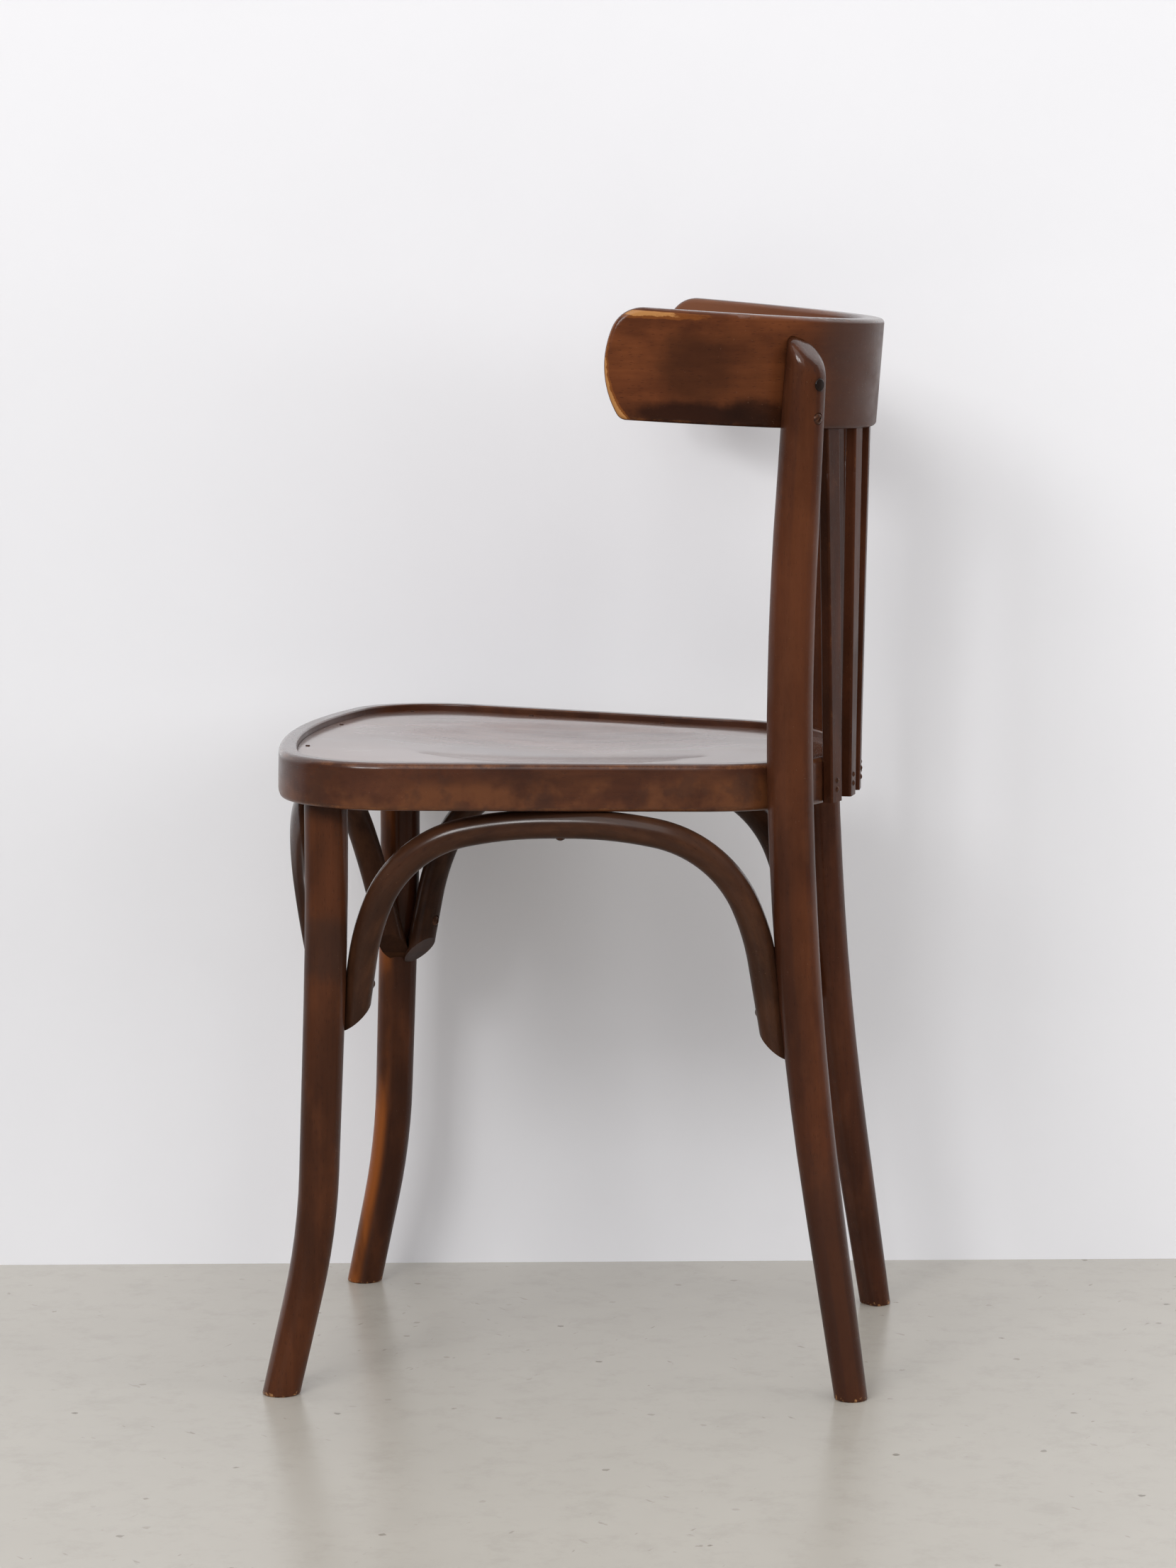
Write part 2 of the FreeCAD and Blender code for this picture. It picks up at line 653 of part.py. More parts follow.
def make_slat(index, rail):
    foot, foot_angle = slat_foot(index)
    top, top_angle = slat_top(index)
    low = underside_z(foot.y) + SLAT_FOOT_ABOVE_RING_BOTTOM
    high = top.z + SLAT_TENON_LENGTH / 3
    sections = []
    for i in range(SLAT_SECTIONS):
        z = low + (high - low) * i / (SLAT_SECTIONS - 1)
        angle = foot_angle + slat_share(index, z) * (top_angle - foot_angle)
        sections.append(slat_section(slat_centre(index, z), angle, SLAT_WIDTH, SLAT_THICKNESS,
                                     SLAT_CORNER_RADIUS))
    slat = Part.makeLoft(sections, True, True)
    slat = slat.cut(rail)
    return slat.fuse(slat_tenon(index, 0))


class Arch:
    """A bent rod in its own plane: crown level, limbs down, ends against two legs."""

    def __init__(self, start, end, tips, crown_out, crown_flat):
        self.tips = tips
        middle = (start + end) * 0.5
        run = plan(end.x - start.x, end.y - start.y)
        self.u = plan(run.x, run.y).normalize()
        out = self.u.cross(UP)
        self.crown_z = underside_z(middle.y + out.y * crown_out) - ARCH_RADIUS + ARCH_SEAT_DEPTH
        self.lean = math.atan2(crown_out, self.crown_z - middle.z)
        self.w = UP * math.cos(self.lean) + out * math.sin(self.lean)
        self.crown = plan(middle.x, middle.y, self.crown_z) + out * crown_out
        self.half_flat = crown_flat / 2
        self.radii = (0.0, ARCH_SHOULDER_RADIUS, ARCH_LIMB_RADIUS)
        across, down = self.bends()[-1]
        slope = math.tan(math.radians(ARCH_BEND_TURNS[-1]))
        tail = (self.crown_z - middle.z) / math.cos(self.lean) - down
        spare = run.Length / 2 - across - tail / slope
        turn = math.radians(ARCH_BEND_TURNS[0])
        crown_radius = spare / (math.sin(turn) - (1 - math.cos(turn)) / slope)
        self.radii = (crown_radius, ARCH_SHOULDER_RADIUS, ARCH_LIMB_RADIUS)

    def at(self, across, down):
        return self.crown + self.u * across - self.w * down

    def bends(self):
        """Ends and middles of the bends of one limb, from the crown outward."""
        across = self.half_flat
        down = 0.0
        last = 0.0
        found = [(across, down)]
        for radius, turn in zip(self.radii, ARCH_BEND_TURNS):
            for angle in ((last + turn) / 2, turn):
                a = math.radians(angle)
                b = math.radians(last)
                found.append((across + radius * (math.sin(a) - math.sin(b)),
                              down + radius * (math.cos(b) - math.cos(a))))
            across, down = found[-1]
            last = turn
        return found

    def limb_point(self, side, z):
        """Centre of the straight end of a limb at a height."""
        across, down = self.bends()[-1]
        depth = (self.crown_z - z) / math.cos(self.lean)
        across += (depth - down) / math.tan(math.radians(ARCH_BEND_TURNS[-1]))
        return self.at(side * across, depth)

    def tip_z(self, side):
        return self.tips[0] if side < 0 else self.tips[1]

    def limb_edges(self, side):
        """Edges of one limb, from the crown outward."""
        points = [self.at(side * across, down) for across, down in self.bends()]
        edges = [arc(points[i], points[i + 1], points[i + 2]) for i in (0, 2, 4)]
        edges.append(line(points[-1], self.limb_point(side, self.tip_z(side) - ARCH_RADIUS)))
        return edges

    def rod(self):
        flat = line(self.at(-self.half_flat, 0), self.at(self.half_flat, 0))
        path = Part.Wire(self.limb_edges(-1)[::-1] + [flat] + self.limb_edges(1))
        low = self.limb_point(-1, self.tip_z(-1) - ARCH_RADIUS)
        high = self.limb_point(-1, self.tip_z(-1))
        profile = Part.Wire(Part.makeCircle(ARCH_RADIUS, low, high - low))
        return path.makePipeShell([profile], True, False)

    def scarf(self, side, leg_centre):
        """Block that saws a limb's end on a slant, longest against the leg."""
        centre = self.limb_point(side, self.tip_z(side))
        to_leg = plan(leg_centre.x - centre.x, leg_centre.y - centre.y).normalize()
        block = Part.makeBox(SAW_SIZE, SAW_SIZE, SAW_SIZE / 2,
                             Vector(-SAW_SIZE / 2, -SAW_SIZE / 2, -SAW_SIZE / 2))
        hinge = centre + to_leg * ARCH_RADIUS
        slope = FreeCAD.Rotation(to_leg.cross(UP), -ARCH_SCARF_ANGLE)
        block.Placement = FreeCAD.Placement(hinge, slope)
        return block


def make_arch(arch, legs, centres):
    """Rod with its ends scarfed, saddled on the legs and flattened under the ring."""
    rod = arch.rod()
    for side, centre in zip((-1, 1), centres):
        rod = rod.cut(arch.scarf(side, centre))
    rod = rod.cut(above_underside())
    for leg in legs:
        rod = rod.cut(leg)
    return rod


def screw(head_radius, head_height, shank_radius, length, slot_depth, domed):
    """Screw, nail or pin along +Z, with the seat of its round or flat head at the origin."""
    ball = (head_radius ** 2 + head_height ** 2) / (2 * head_height)
    half = math.asin(head_radius / ball) / 2
    dome = Vector(ball * math.sin(half), 0, -head_height + ball * (1 - math.cos(half)))
    tip = min(SCREW_TIP_LENGTH, length / 3)
    top = Vector(0, 0, -head_height)
    rim = Vector(head_radius, 0, 0)
    shoulder = Vector(head_radius, 0, -head_height)
    edges = [arc(top, dome, rim)] if domed else [line(top, shoulder), line(shoulder, rim)]
    edges += [
        line(rim, Vector(shank_radius, 0, 0)),
        line(Vector(shank_radius, 0, 0), Vector(shank_radius, 0, length - tip)),
        line(Vector(shank_radius, 0, length - tip), Vector(0, 0, length)),
        line(Vector(0, 0, length), top),
    ]
    solid = Part.Face(Part.Wire(edges)).revolve(Vector(0, 0, 0), UP, 360)
    if slot_depth > 0:
        slot = Part.makeBox(SCREW_SLOT_WIDTH, 2 * head_radius, slot_depth)
        slot.translate(Vector(-SCREW_SLOT_WIDTH / 2, -head_radius, -head_height))
        solid = solid.cut(slot)
    return solid


def aimed(shape, origin, direction):
    """A copy turned so that its +Z runs along a direction, from an origin."""
    turn = FreeCAD.Rotation(UP, direction)
    copy = shape.copy()
    copy.Placement = FreeCAD.Placement(origin, turn)
    return copy


class Fastener:
    """One screw with its seat, its direction and the hole that it needs."""

    def __init__(self, seat, direction, length, sizes=None, slot=SCREW_SLOT_DEPTH, domed=True):
        head, height, shank = sizes or (SCREW_HEAD_RADIUS, SCREW_HEAD_HEIGHT, SCREW_SHANK_RADIUS)
        self.solid = aimed(screw(head, height, shank, length, slot, domed), seat, direction)
        bore = Part.makeCylinder(shank + SCREW_HOLE_CLEARANCE, length + SCREW_HOLE_SPARE)
        spot = Part.makeCylinder(head + SCREW_SPOT_CLEARANCE, SCREW_SPOT_REACH,
                                 Vector(0, 0, -SCREW_SPOT_REACH))
        self.bore = aimed(bore, seat, direction)
        self.hole = aimed(bore.fuse(spot), seat, direction)


def arch_end_screw(arch, side, centre_of):
    """Through a limb from its free side into the leg."""
    z = arch.tip_z(side) + ARCH_SCREW_ABOVE_TIP
    rod = arch.limb_point(side, z)
    leg = centre_of(z)
    way = plan(leg.x - rod.x, leg.y - rod.y).normalize()
    seat = rod - way * (ARCH_RADIUS - SCREW_SPOT_FACE)
    return Fastener(seat, way, 2 * ARCH_RADIUS - SCREW_SPOT_FACE + SCREW_GRIP)


def arch_crown_screw(arch):
    seat = arch.at(0, 0) - UP * (ARCH_RADIUS - SCREW_SPOT_FACE)
    return Fastener(seat, UP, 2 * ARCH_RADIUS - SCREW_SPOT_FACE + SCREW_GRIP)


def rail_screws():
    """Two screws through the left post into the rail."""
    found = []
    way = turned(RAIL_SCREW_ANGLE) * -1
    for height, recess in zip(RAIL_SCREW_HEIGHTS, RAIL_SCREW_RECESSES):
        z = post_rail_point().z - RAIL_HEIGHT / 2 + height
        r = post_radius(z)
        seat = post_centre(z) - way * (r - recess)
        length = r - recess + POST_FLAT_SHARE * r + RAIL_SCREW_GRIP
        found.append(Fastener(seat, way, length))
    return found


def post_screws():
    """Two screws from inside the ring into the left post."""
    front, rear, side = ring_centres()
    z = underside_z(post_ring_point().y) + POST_SCREW_RISE
    way = turned(POST_FACE_ANGLE)
    along = turned(POST_FACE_ANGLE + 90)
    inner = RING_REAR_CORNER_RADIUS - RING_WIDTH
    centre = post_centre(z)
    offset = (centre - plan(rear.x, rear.y, z)).dot(along)
    found = []
    for sign in (-1, 1):
        aside = offset + sign * POST_SCREW_SPACING / 2
        depth = math.sqrt(inner ** 2 - aside ** 2) + SCREW_SPOT_FACE
        seat = plan(rear.x, rear.y, z) + along * aside + way * depth
        reach = (centre - seat).dot(way) - POST_FLAT_SHARE * post_radius(z) + SCREW_GRIP
        found.append(Fastener(seat, way, reach))
    return found


def slat_nails(index):
    """Two round-headed nails through a slat's foot into the ring."""
    foot, angle = slat_foot(index)
    way = turned(angle) * -1
    found = []
    for height in NAIL_HEIGHTS:
        z = underside_z(foot.y) + height
        seat = slat_centre(index, z) - way * (SLAT_THICKNESS / 2)
        sizes = (NAIL_HEAD_RADIUS, NAIL_HEAD_HEIGHT, NAIL_SHANK_RADIUS)
        found.append(Fastener(seat, way, SLAT_THICKNESS + NAIL_GRIP, sizes, 0))
    return found


def panel_pins():
    """Pins round the panel's edge, down into the ledge."""
    found = []
    corner, side = (PANEL_PINS_ON_CORNER, PANEL_PINS_ON_SIDE)
    counts = (PANEL_PINS_ON_ARC, corner, side, corner) * 2
    sizes = (PANEL_PIN_HEAD_RADIUS, PANEL_PIN_HEAD_HEIGHT, PANEL_PIN_RADIUS)
    for edge, count in zip(ring_outline(PANEL_PIN_INSET, PANEL_TOP_Z).Edges, counts):
        for i in range(count):
            share = (i + 0.5) / count
            point = edge.valueAt(edge.FirstParameter + share * (edge.LastParameter - edge.FirstParameter))
            down = tipped_point(point - UP) - tipped_point(point)
            found.append(Fastener(tipped_point(point), down, PANEL_PIN_LENGTH, sizes, 0, False))
    return found


def both_sides(fasteners):
    solids = []
    for item in fasteners:
        solids += [item.solid, mirrored(item.solid)]
    return solids


def drill(shape, fasteners, full):
    """Cuts the holes of fasteners, with their spot faces where full is set."""
    for item in fasteners:
        shape = shape.cut(item.hole if full else item.bore)
    return shape


def drill_both(shape, fasteners, full):
    for item in fasteners:
        hole = item.hole if full else item.bore
        shape = shape.cut(hole).cut(mirrored(hole))
    return shape


def side_arch():
    """The left side arch, from the front leg to the rear post."""
    front = front_leg_centre(SIDE_ARCH_FRONT_TIP_Z + ARCH_BITE_ABOVE_TIP)
    rear = post_centre(SIDE_ARCH_REAR_TIP_Z + ARCH_BITE_ABOVE_TIP)
    reach = ARCH_RADIUS - ARCH_LEG_BITE
    start = front + turned(-SIDE_ARCH_FRONT_ANGLE) * (front_leg_radius(front.z) + reach)
    end = rear + turned(180 + SIDE_ARCH_REAR_ANGLE) * (post_radius(rear.z) + reach)
    tips = (SIDE_ARCH_FRONT_TIP_Z, SIDE_ARCH_REAR_TIP_Z)
    return Arch(start, end, tips, SIDE_ARCH_CROWN_OUT, SIDE_ARCH_CROWN_FLAT)


def front_arch():
    """The front arch, from the right front leg to the left one."""
    leg = front_leg_centre(FRONT_ARCH_TIP_Z + ARCH_BITE_ABOVE_TIP)
    reach = front_leg_radius(leg.z) + ARCH_RADIUS - ARCH_LEG_BITE
    end = leg + turned(-90 - FRONT_ARCH_LEG_ANGLE) * reach
    start = plan(-end.x, end.y, end.z)
    crown_out = end.y - (RING_FRONT_Y + FRONT_ARCH_CROWN_INSET)
    tips = (FRONT_ARCH_TIP_Z, FRONT_ARCH_TIP_Z)
    return Arch(start, end, tips, crown_out, FRONT_ARCH_CROWN_FLAT)


def build():
    left_leg = make_front_leg()
    left_post = make_post()
    ring = make_ring()
    rail = make_rail()
    panel = make_panel()
    side = side_arch()
    front = front_arch()

    side_screws = [arch_end_screw(side, -1, front_leg_centre), arch_end_screw(side, 1, post_centre)]
    front_screws = [arch_end_screw(front, 1, front_leg_centre)]
    side_crown = arch_crown_screw(side)
    front_crown = arch_crown_screw(front)
    to_rail = rail_screws()
    to_post = post_screws()
    pins = panel_pins()
    half = SLAT_COUNT // 2
    nails = {i: slat_nails(i) for i in range(-half, half + 1)}

    side_rod = make_arch(side, [left_leg, left_post],
                         [front_leg_centre(SIDE_ARCH_FRONT_TIP_Z), post_centre(SIDE_ARCH_REAR_TIP_Z)])
    side_rod = drill(side_rod, side_screws + [side_crown], True)
    leg_centre = front_leg_centre(FRONT_ARCH_TIP_Z)
    front_rod = make_arch(front, [left_leg, mirrored(left_leg)],
                          [plan(-leg_centre.x, leg_centre.y), leg_centre])
    front_rod = drill_both(front_rod, front_screws, True)
    front_rod = drill(front_rod, [front_crown], True)

    slats = {i: make_slat(i, rail) for i in nails}
    for index, slat in slats.items():
        slats[index] = drill(slat, nails[index], False)

    rail = rail.cut(left_post).cut(mirrored(left_post))
    rail = drill_both(rail, to_rail, False)
    for index in slats:
        rail = rail.cut(slat_tenon(index, MORTISE_CLEARANCE))

    ring = ring.cut(left_post).cut(mirrored(left_post))
    socket = front_leg_tenon(TENON_CLEARANCE)
    ring = ring.cut(socket).cut(mirrored(socket))
    ring = drill_both(ring, [side_crown], False)
    ring = drill(ring, [front_crown] + pins, False)
    ring = drill_both(ring, to_post, True)
    for index in nails:
        ring = drill(ring.cut(slats[index]), nails[index], False)
    panel = drill(panel, pins, False)

    left_leg = drill(left_leg, side_screws[:1] + front_screws, False)
    left_post = drill(left_post, side_screws[1:] + to_post, False)
    left_post = drill(left_post, to_rail, True)

    nodes = {
        "seat_ring": [ring],
        "seat_panel": [panel],
        "seat_panel_pins": [item.solid for item in pins],
        "front_leg_left": [left_leg],
        "front_leg_right": [mirrored(left_leg)],
        "rear_post_left": [left_post],
        "rear_post_right": [mirrored(left_post)],
        "top_rail": [rail],
        "side_arch_left": [side_rod],
        "side_arch_right": [mirrored(side_rod)],
        "front_arch": [front_rod],
        "side_arch_end_screws": both_sides(side_screws),
        "front_arch_end_screws": both_sides(front_screws),
        "arch_crown_screws": both_sides([side_crown]) + [front_crown.solid],
        "rear_post_screws": both_sides(to_post),
        "top_rail_screws": both_sides(to_rail),
        "slat_nails": [item.solid for index in nails for item in nails[index]],
    }
    for number, index in enumerate(sorted(slats, reverse=True), 1):
        nodes["back_slat_%d" % number] = [slats[index]]
    return nodes


def export(nodes):
    os.makedirs("parts", exist_ok=True)
    for name, solids in nodes.items():
        pieces = [solid for shape in solids for solid in shape.Solids]
        shape = pieces[0] if len(pieces) == 1 else Part.makeCompound(pieces)
        shape.exportStep("parts/" + name + ".step")
        box = shape.BoundBox
        print("%-24s %2d solid(s) %10.0f mm3  x %7.1f %7.1f  y %7.1f %7.1f  z %7.1f %7.1f %s" % (
            name, len(pieces), shape.Volume, box.XMin, box.XMax, box.YMin, box.YMax,
            box.ZMin, box.ZMax, "" if shape.isValid() else "NOT VALID"))


export(build())
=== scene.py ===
import bpy
import math
from mathutils import Matrix, Vector


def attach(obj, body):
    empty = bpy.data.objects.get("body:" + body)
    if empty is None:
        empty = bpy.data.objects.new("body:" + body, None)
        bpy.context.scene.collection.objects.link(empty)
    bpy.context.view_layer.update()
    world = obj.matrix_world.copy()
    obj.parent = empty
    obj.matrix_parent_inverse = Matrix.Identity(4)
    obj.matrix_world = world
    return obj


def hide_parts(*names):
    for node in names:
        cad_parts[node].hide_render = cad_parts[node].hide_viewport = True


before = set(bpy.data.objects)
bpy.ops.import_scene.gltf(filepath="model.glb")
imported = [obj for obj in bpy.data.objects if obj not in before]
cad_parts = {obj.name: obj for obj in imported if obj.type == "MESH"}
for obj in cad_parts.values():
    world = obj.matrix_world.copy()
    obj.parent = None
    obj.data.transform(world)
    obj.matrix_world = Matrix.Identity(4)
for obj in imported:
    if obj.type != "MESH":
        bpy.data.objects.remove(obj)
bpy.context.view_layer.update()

# A bentwood bistro chair in dark brown varnish, rubbed through at its edges.
# Metres, +Z up, the sitter faces -Y, +X is the sitter's left.

# Camera, a little above the rail and nearly square to the chair's left side.
EYE = Vector((3.3124, 0.4067, 0.8358))
EYE_TURN = 0.12167
EYE_DIP = 0.12321
EYE_ROLL = math.radians(-0.09)
EYE_LENS = 104.16
EYE_FILM = 36.0

# Room: a wall behind the chair, and the strength of its even light and of its reflection.
WALL_POINT = Vector((-0.2607, -0.0311, 0.0))
WALL_TURN = math.radians(7.94)
WALL_SIZE = 9.0
FLOOR_SIZE = 30.0
ROOM_LIGHT = 0.64
ROOM_MIRRORED = 0.14
LAMP_AIM = Vector((0.0, 0.0, 0.45))

# The back: the rail's lean, a point on its lower edge, its depth, the middle of an arm's
# rounded end as arm_place gives it, the height above which the rail's screws are filled over,
# and the number of slats.
RAIL_LEAN = math.radians(4.4)
RAIL_UP = (0.0, math.sin(RAIL_LEAN), math.cos(RAIL_LEAN))
RAIL_FOOT = Vector((0.0, 0.213, 0.688))
RAIL_DEPTH = 0.078
RAIL_NOSE = (0.103, 0.041, 0.0)
RAIL_FILLED = 0.713
SLATS = 5

# Bent pieces: the centre that the grain runs round, its axes in the order that the piece's
# grain function gives them, and the mean radius.
RING_BEND = ((0.0, -0.01, 0.0), 0.2)
RAIL_BEND = ((0.0, 0.015, 0.0), 0.19)
SIDE_ARCH_BEND = ((0.0, 0.27, 0.0), 0.15)
FRONT_ARCH_BEND = ((0.0, 0.27, 0.0), 0.14)

# Smooth copies: how near points are when they merge, and the sharpest corner still smoothed.
MERGED_WITHIN = 0.00001
SOFTEST_CREASE = math.radians(30.0)

# Sawn top of the left post: a point on it, the way it faces, how deep and how far it is
# rounded off, and the depths of the cuts that this takes, as shares of the whole.
SAWN_TOP = (0.1415, 0.1754, 0.7465)
SAWN_SLOPE = (0.36, 0.623, 0.695)
SAWN_ROUNDING = 0.008
SAWN_SHARE = 0.75
SAWN_CUTS = (0.12, 0.28, 0.46, 0.68, 1.0)

# Plug over the left post's upper rail screw: its middle, its turn about Z and its size.
PLUG_PLACE = Vector((0.14778, 0.18235, 0.72309))
PLUG_TURN = math.radians(51.0)
PLUG_RADIUS = 0.0044
PLUG_DEPTH = 0.0022
PLUG_ROUNDING = 0.0006

# Varnish: how it bends light, its share and roughness on the sides of most pieces, its share
# on top, the shine of the stained wood under it, and how far grain and scratches stand up.
VARNISH_IOR = 1.5
COAT = 0.2
COAT_GLOSS = 0.12
TOP_COAT = 1.0
SHINE = 0.05
RELIEF_SHARE = 0.35
RELIEF_HEIGHT = 0.0006


def tone(red, green, blue):
    """A colour written as screen values from 0 to 255, as the shader takes it."""
    def linear(value):
        share = value / 255
        return share / 12.92 if share <= 0.04045 else ((share + 0.055) / 1.055) ** 2.4
    return (linear(red), linear(green), linear(blue), 1.0)


# Stained wood of each kind of piece: deep, body and warm tone.
RING_TONES = (tone(58, 31, 20), tone(77, 42, 26), tone(92, 54, 32))
LEG_TONES = (tone(60, 33, 20), tone(83, 46, 27), tone(100, 57, 33))
POST_TONES = (tone(57, 31, 20), tone(78, 42, 26), tone(93, 54, 34))
RAIL_TONES = (tone(72, 38, 23), tone(100, 55, 31), tone(120, 68, 38))
SLAT_TONES = (tone(50, 27, 17), tone(68, 36, 22), tone(82, 46, 28))
ARCH_TONES = (tone(46, 28, 19), tone(67, 41, 28), tone(88, 55, 35))
# The panel's tones are lighter, partly to paint the sheen of its varnish.
PANEL_TONES_AND_SHEEN = (tone(86, 55, 41), tone(118, 80, 62), tone(132, 93, 73))
PLUG_TONES = (tone(24, 16, 13), tone(34, 23, 18), tone(44, 30, 22))

# Wear: stains in the varnish, painted shade and sheen, then places where it is thin or gone.
PORE = tone(34, 17, 12)
# A dark tone: a stain round the plug, a dark patch low on the arm, and painted shade on the posts
# below the rail and on the near leg under the ring.
DARK_STAIN_AND_SHADE = tone(34, 19, 13)
ARM_SHADE = tone(62, 35, 21)
ARM_STAIN = tone(52, 30, 19)
ARM_SOOT = tone(42, 23, 16)
# Painted shade on the back of the rail.
RAIL_BACK_PAINTED_SHADE = tone(55, 30, 18)
# Painted sheen on the insides of the arms.
RAIL_INSIDE_SHEEN = tone(128, 84, 62)
RING_DULL = tone(60, 37, 28)
RING_LOW = tone(104, 62, 36)
LEG_GRIME = tone(44, 34, 30)
# Painted shade on the far leg's inner rear side.
LEG_SHADED_SIDE = tone(48, 26, 17)
LEG_AMBER = tone(138, 76, 32)
POST_GRIME = tone(52, 33, 26)
POST_GLOW = tone(100, 56, 34)
POST_AMBER = tone(118, 64, 26)
SCRATCHED = tone(132, 104, 84)
RUBBED_EDGE = tone(132, 82, 46)
THIN_VARNISH = tone(128, 74, 34)
BARE_WOOD = tone(182, 130, 78)
CHIPPED_FOOT = tone(150, 108, 70)

# Dark clouds on the arms: middle and reach as arm_place gives them, tone and share.
ARM_CLOUDS = (
    ((0.112, 0.034, 0.0), (0.055, 0.038, 1.0), ARM_SHADE, 0.35),
    ((0.100, 0.038, 0.0), (0.034, 0.036, 1.0), ARM_STAIN, 0.42),
    ((0.098, 0.006, 0.0), (0.062, 0.013, 1.0), ARM_SOOT, 0.95),
    ((0.140, 0.009, 0.0), (0.034, 0.015, 1.0), DARK_STAIN_AND_SHADE, 0.8))

# Metal, and the filler over the rail's screws.
BROWNED = tone(84, 54, 38)
RAIL_SCREW = tone(80, 50, 34)
PIN = tone(84, 62, 52)
TARNISH = tone(52, 33, 25)
FILLER = tone(36, 26, 22)

# Room: tone, its drift and the flecks in it.
FLOOR_TONES = (tone(189, 184, 174), tone(184, 179, 169), tone(112, 104, 90))
WALL_TONES = (tone(240, 240, 243), tone(238, 238, 241), tone(230, 231, 234))
SKY = tone(252, 252, 255)


# Shader nodes.


def put(tree, kind, sockets=None, **settings):
    """Adds a node, sets it up and fills or connects its inputs."""
    node = tree.nodes.new("ShaderNode" + kind)
    for name, value in settings.items():
        setattr(node, name, value)
    for name, value in (sockets or {}).items():
        if isinstance(value, bpy.types.NodeSocket):
            tree.links.new(value, node.inputs[name])
        else:
            node.inputs[name].default_value = value
    return node


def maths(tree, operation, *values):
    """The result of one step of arithmetic."""
    node = put(tree, "Math", dict(enumerate(values)), operation=operation)
    return node.outputs[0]


def fade(tree, value, low, high, start=0.0, end=1.0):
    """Runs smoothly from start to end while the value goes from low to high."""
    node = put(tree, "MapRange", {"Value": value, "From Min": low, "From Max": high,
                                  "To Min": start, "To Max": end},
               interpolation_type="SMOOTHSTEP")
    return node.outputs["Result"]


def mixed(tree, share, first, second, way="MIX"):
    """The first colour with a share of the second in it."""
    node = put(tree, "Mix", {0: share, 6: first, 7: second}, data_type="RGBA", blend_type=way)
    return node.outputs[2]


def scaled(tree, place, sizes):
    """A place with its axes stretched."""
    node = put(tree, "VectorMath", {0: place, 1: sizes}, operation="MULTIPLY")
    return node.outputs[0]


def shifted(tree, place, shift):
    """A place moved aside, so that a second pattern falls otherwise."""
    node = put(tree, "VectorMath", {0: place, 1: shift}, operation="ADD")
    return node.outputs[0]


def cloud(tree, place, scale, detail=3.0, grit=0.5, warp=0.0):
    """Soft noise from 0 to 1."""
    node = put(tree, "TexNoise", {"Vector": place, "Scale": scale, "Detail": detail,
                                  "Roughness": grit, "Distortion": warp})
    return node.outputs["Fac"]


def product(tree, *values):
    """All the values multiplied together."""
    found = values[0]
    for value in values[1:]:
        found = maths(tree, "MULTIPLY", found, value)
    return found


def spot(tree, place, centre, reach, ragged=0.3, grit=60.0):
    """A patch with a ragged edge, full at its centre and gone at its reach along each axis."""
    away = put(tree, "VectorMath", {0: place, 1: centre}, operation="SUBTRACT").outputs[0]
    size = put(tree, "VectorMath", {0: scaled(tree, away, [1.0 / part for part in reach])},
               operation="LENGTH").outputs["Value"]
    rough = cloud(tree, place, grit, 4.0, 0.6)
    size = maths(tree, "MULTIPLY_ADD", rough, 2.0 * ragged, size)
    return fade(tree, size, 1.0 + ragged, 0.45 + ragged)


def new_group(name, inputs, outputs):
    """A node group with its named inputs and outputs, as (group, inputs, outputs)."""
    group = bpy.data.node_groups.new(name, "ShaderNodeTree")
    for way, sockets in (("INPUT", inputs), ("OUTPUT", outputs)):
        for label, kind in sockets.items():
            group.interface.new_socket(label, in_out=way, socket_type="NodeSocket" + kind)
    source = group.nodes.new("NodeGroupInput").outputs
    target = group.nodes.new("NodeGroupOutput").inputs
    return group, source, target


def use(tree, group, sockets):
    """Places a node group in a material and gives its outputs."""
    return put(tree, "Group", sockets, node_tree=group).outputs


def make_bend_group():
    """Unrolls a bent rod: length round a centre, distance from it, and height."""
    group, take, give = new_group(
        "unrolled_bend", {"Place": "Vector", "Centre": "Vector", "Mean Radius": "Float"},
        {"Way": "Vector"})
    away = put(group, "VectorMath", {0: take["Place"], 1: take["Centre"]}, operation="SUBTRACT")
    parts = put(group, "SeparateXYZ", {0: away.outputs[0]})
    turn = maths(group, "ARCTAN2", parts.outputs[1], parts.outputs[0])
    length = maths(group, "MULTIPLY", turn, take["Mean Radius"])
    square = maths(group, "MULTIPLY", parts.outputs[0], parts.outputs[0])
    square = maths(group, "MULTIPLY_ADD", parts.outputs[1], parts.outputs[1], square)
    radius = maths(group, "SQRT", square)
    way = put(group, "CombineXYZ", {0: length, 1: radius, 2: parts.outputs[2]})
    group.links.new(way.outputs[0], give["Way"])
    return group


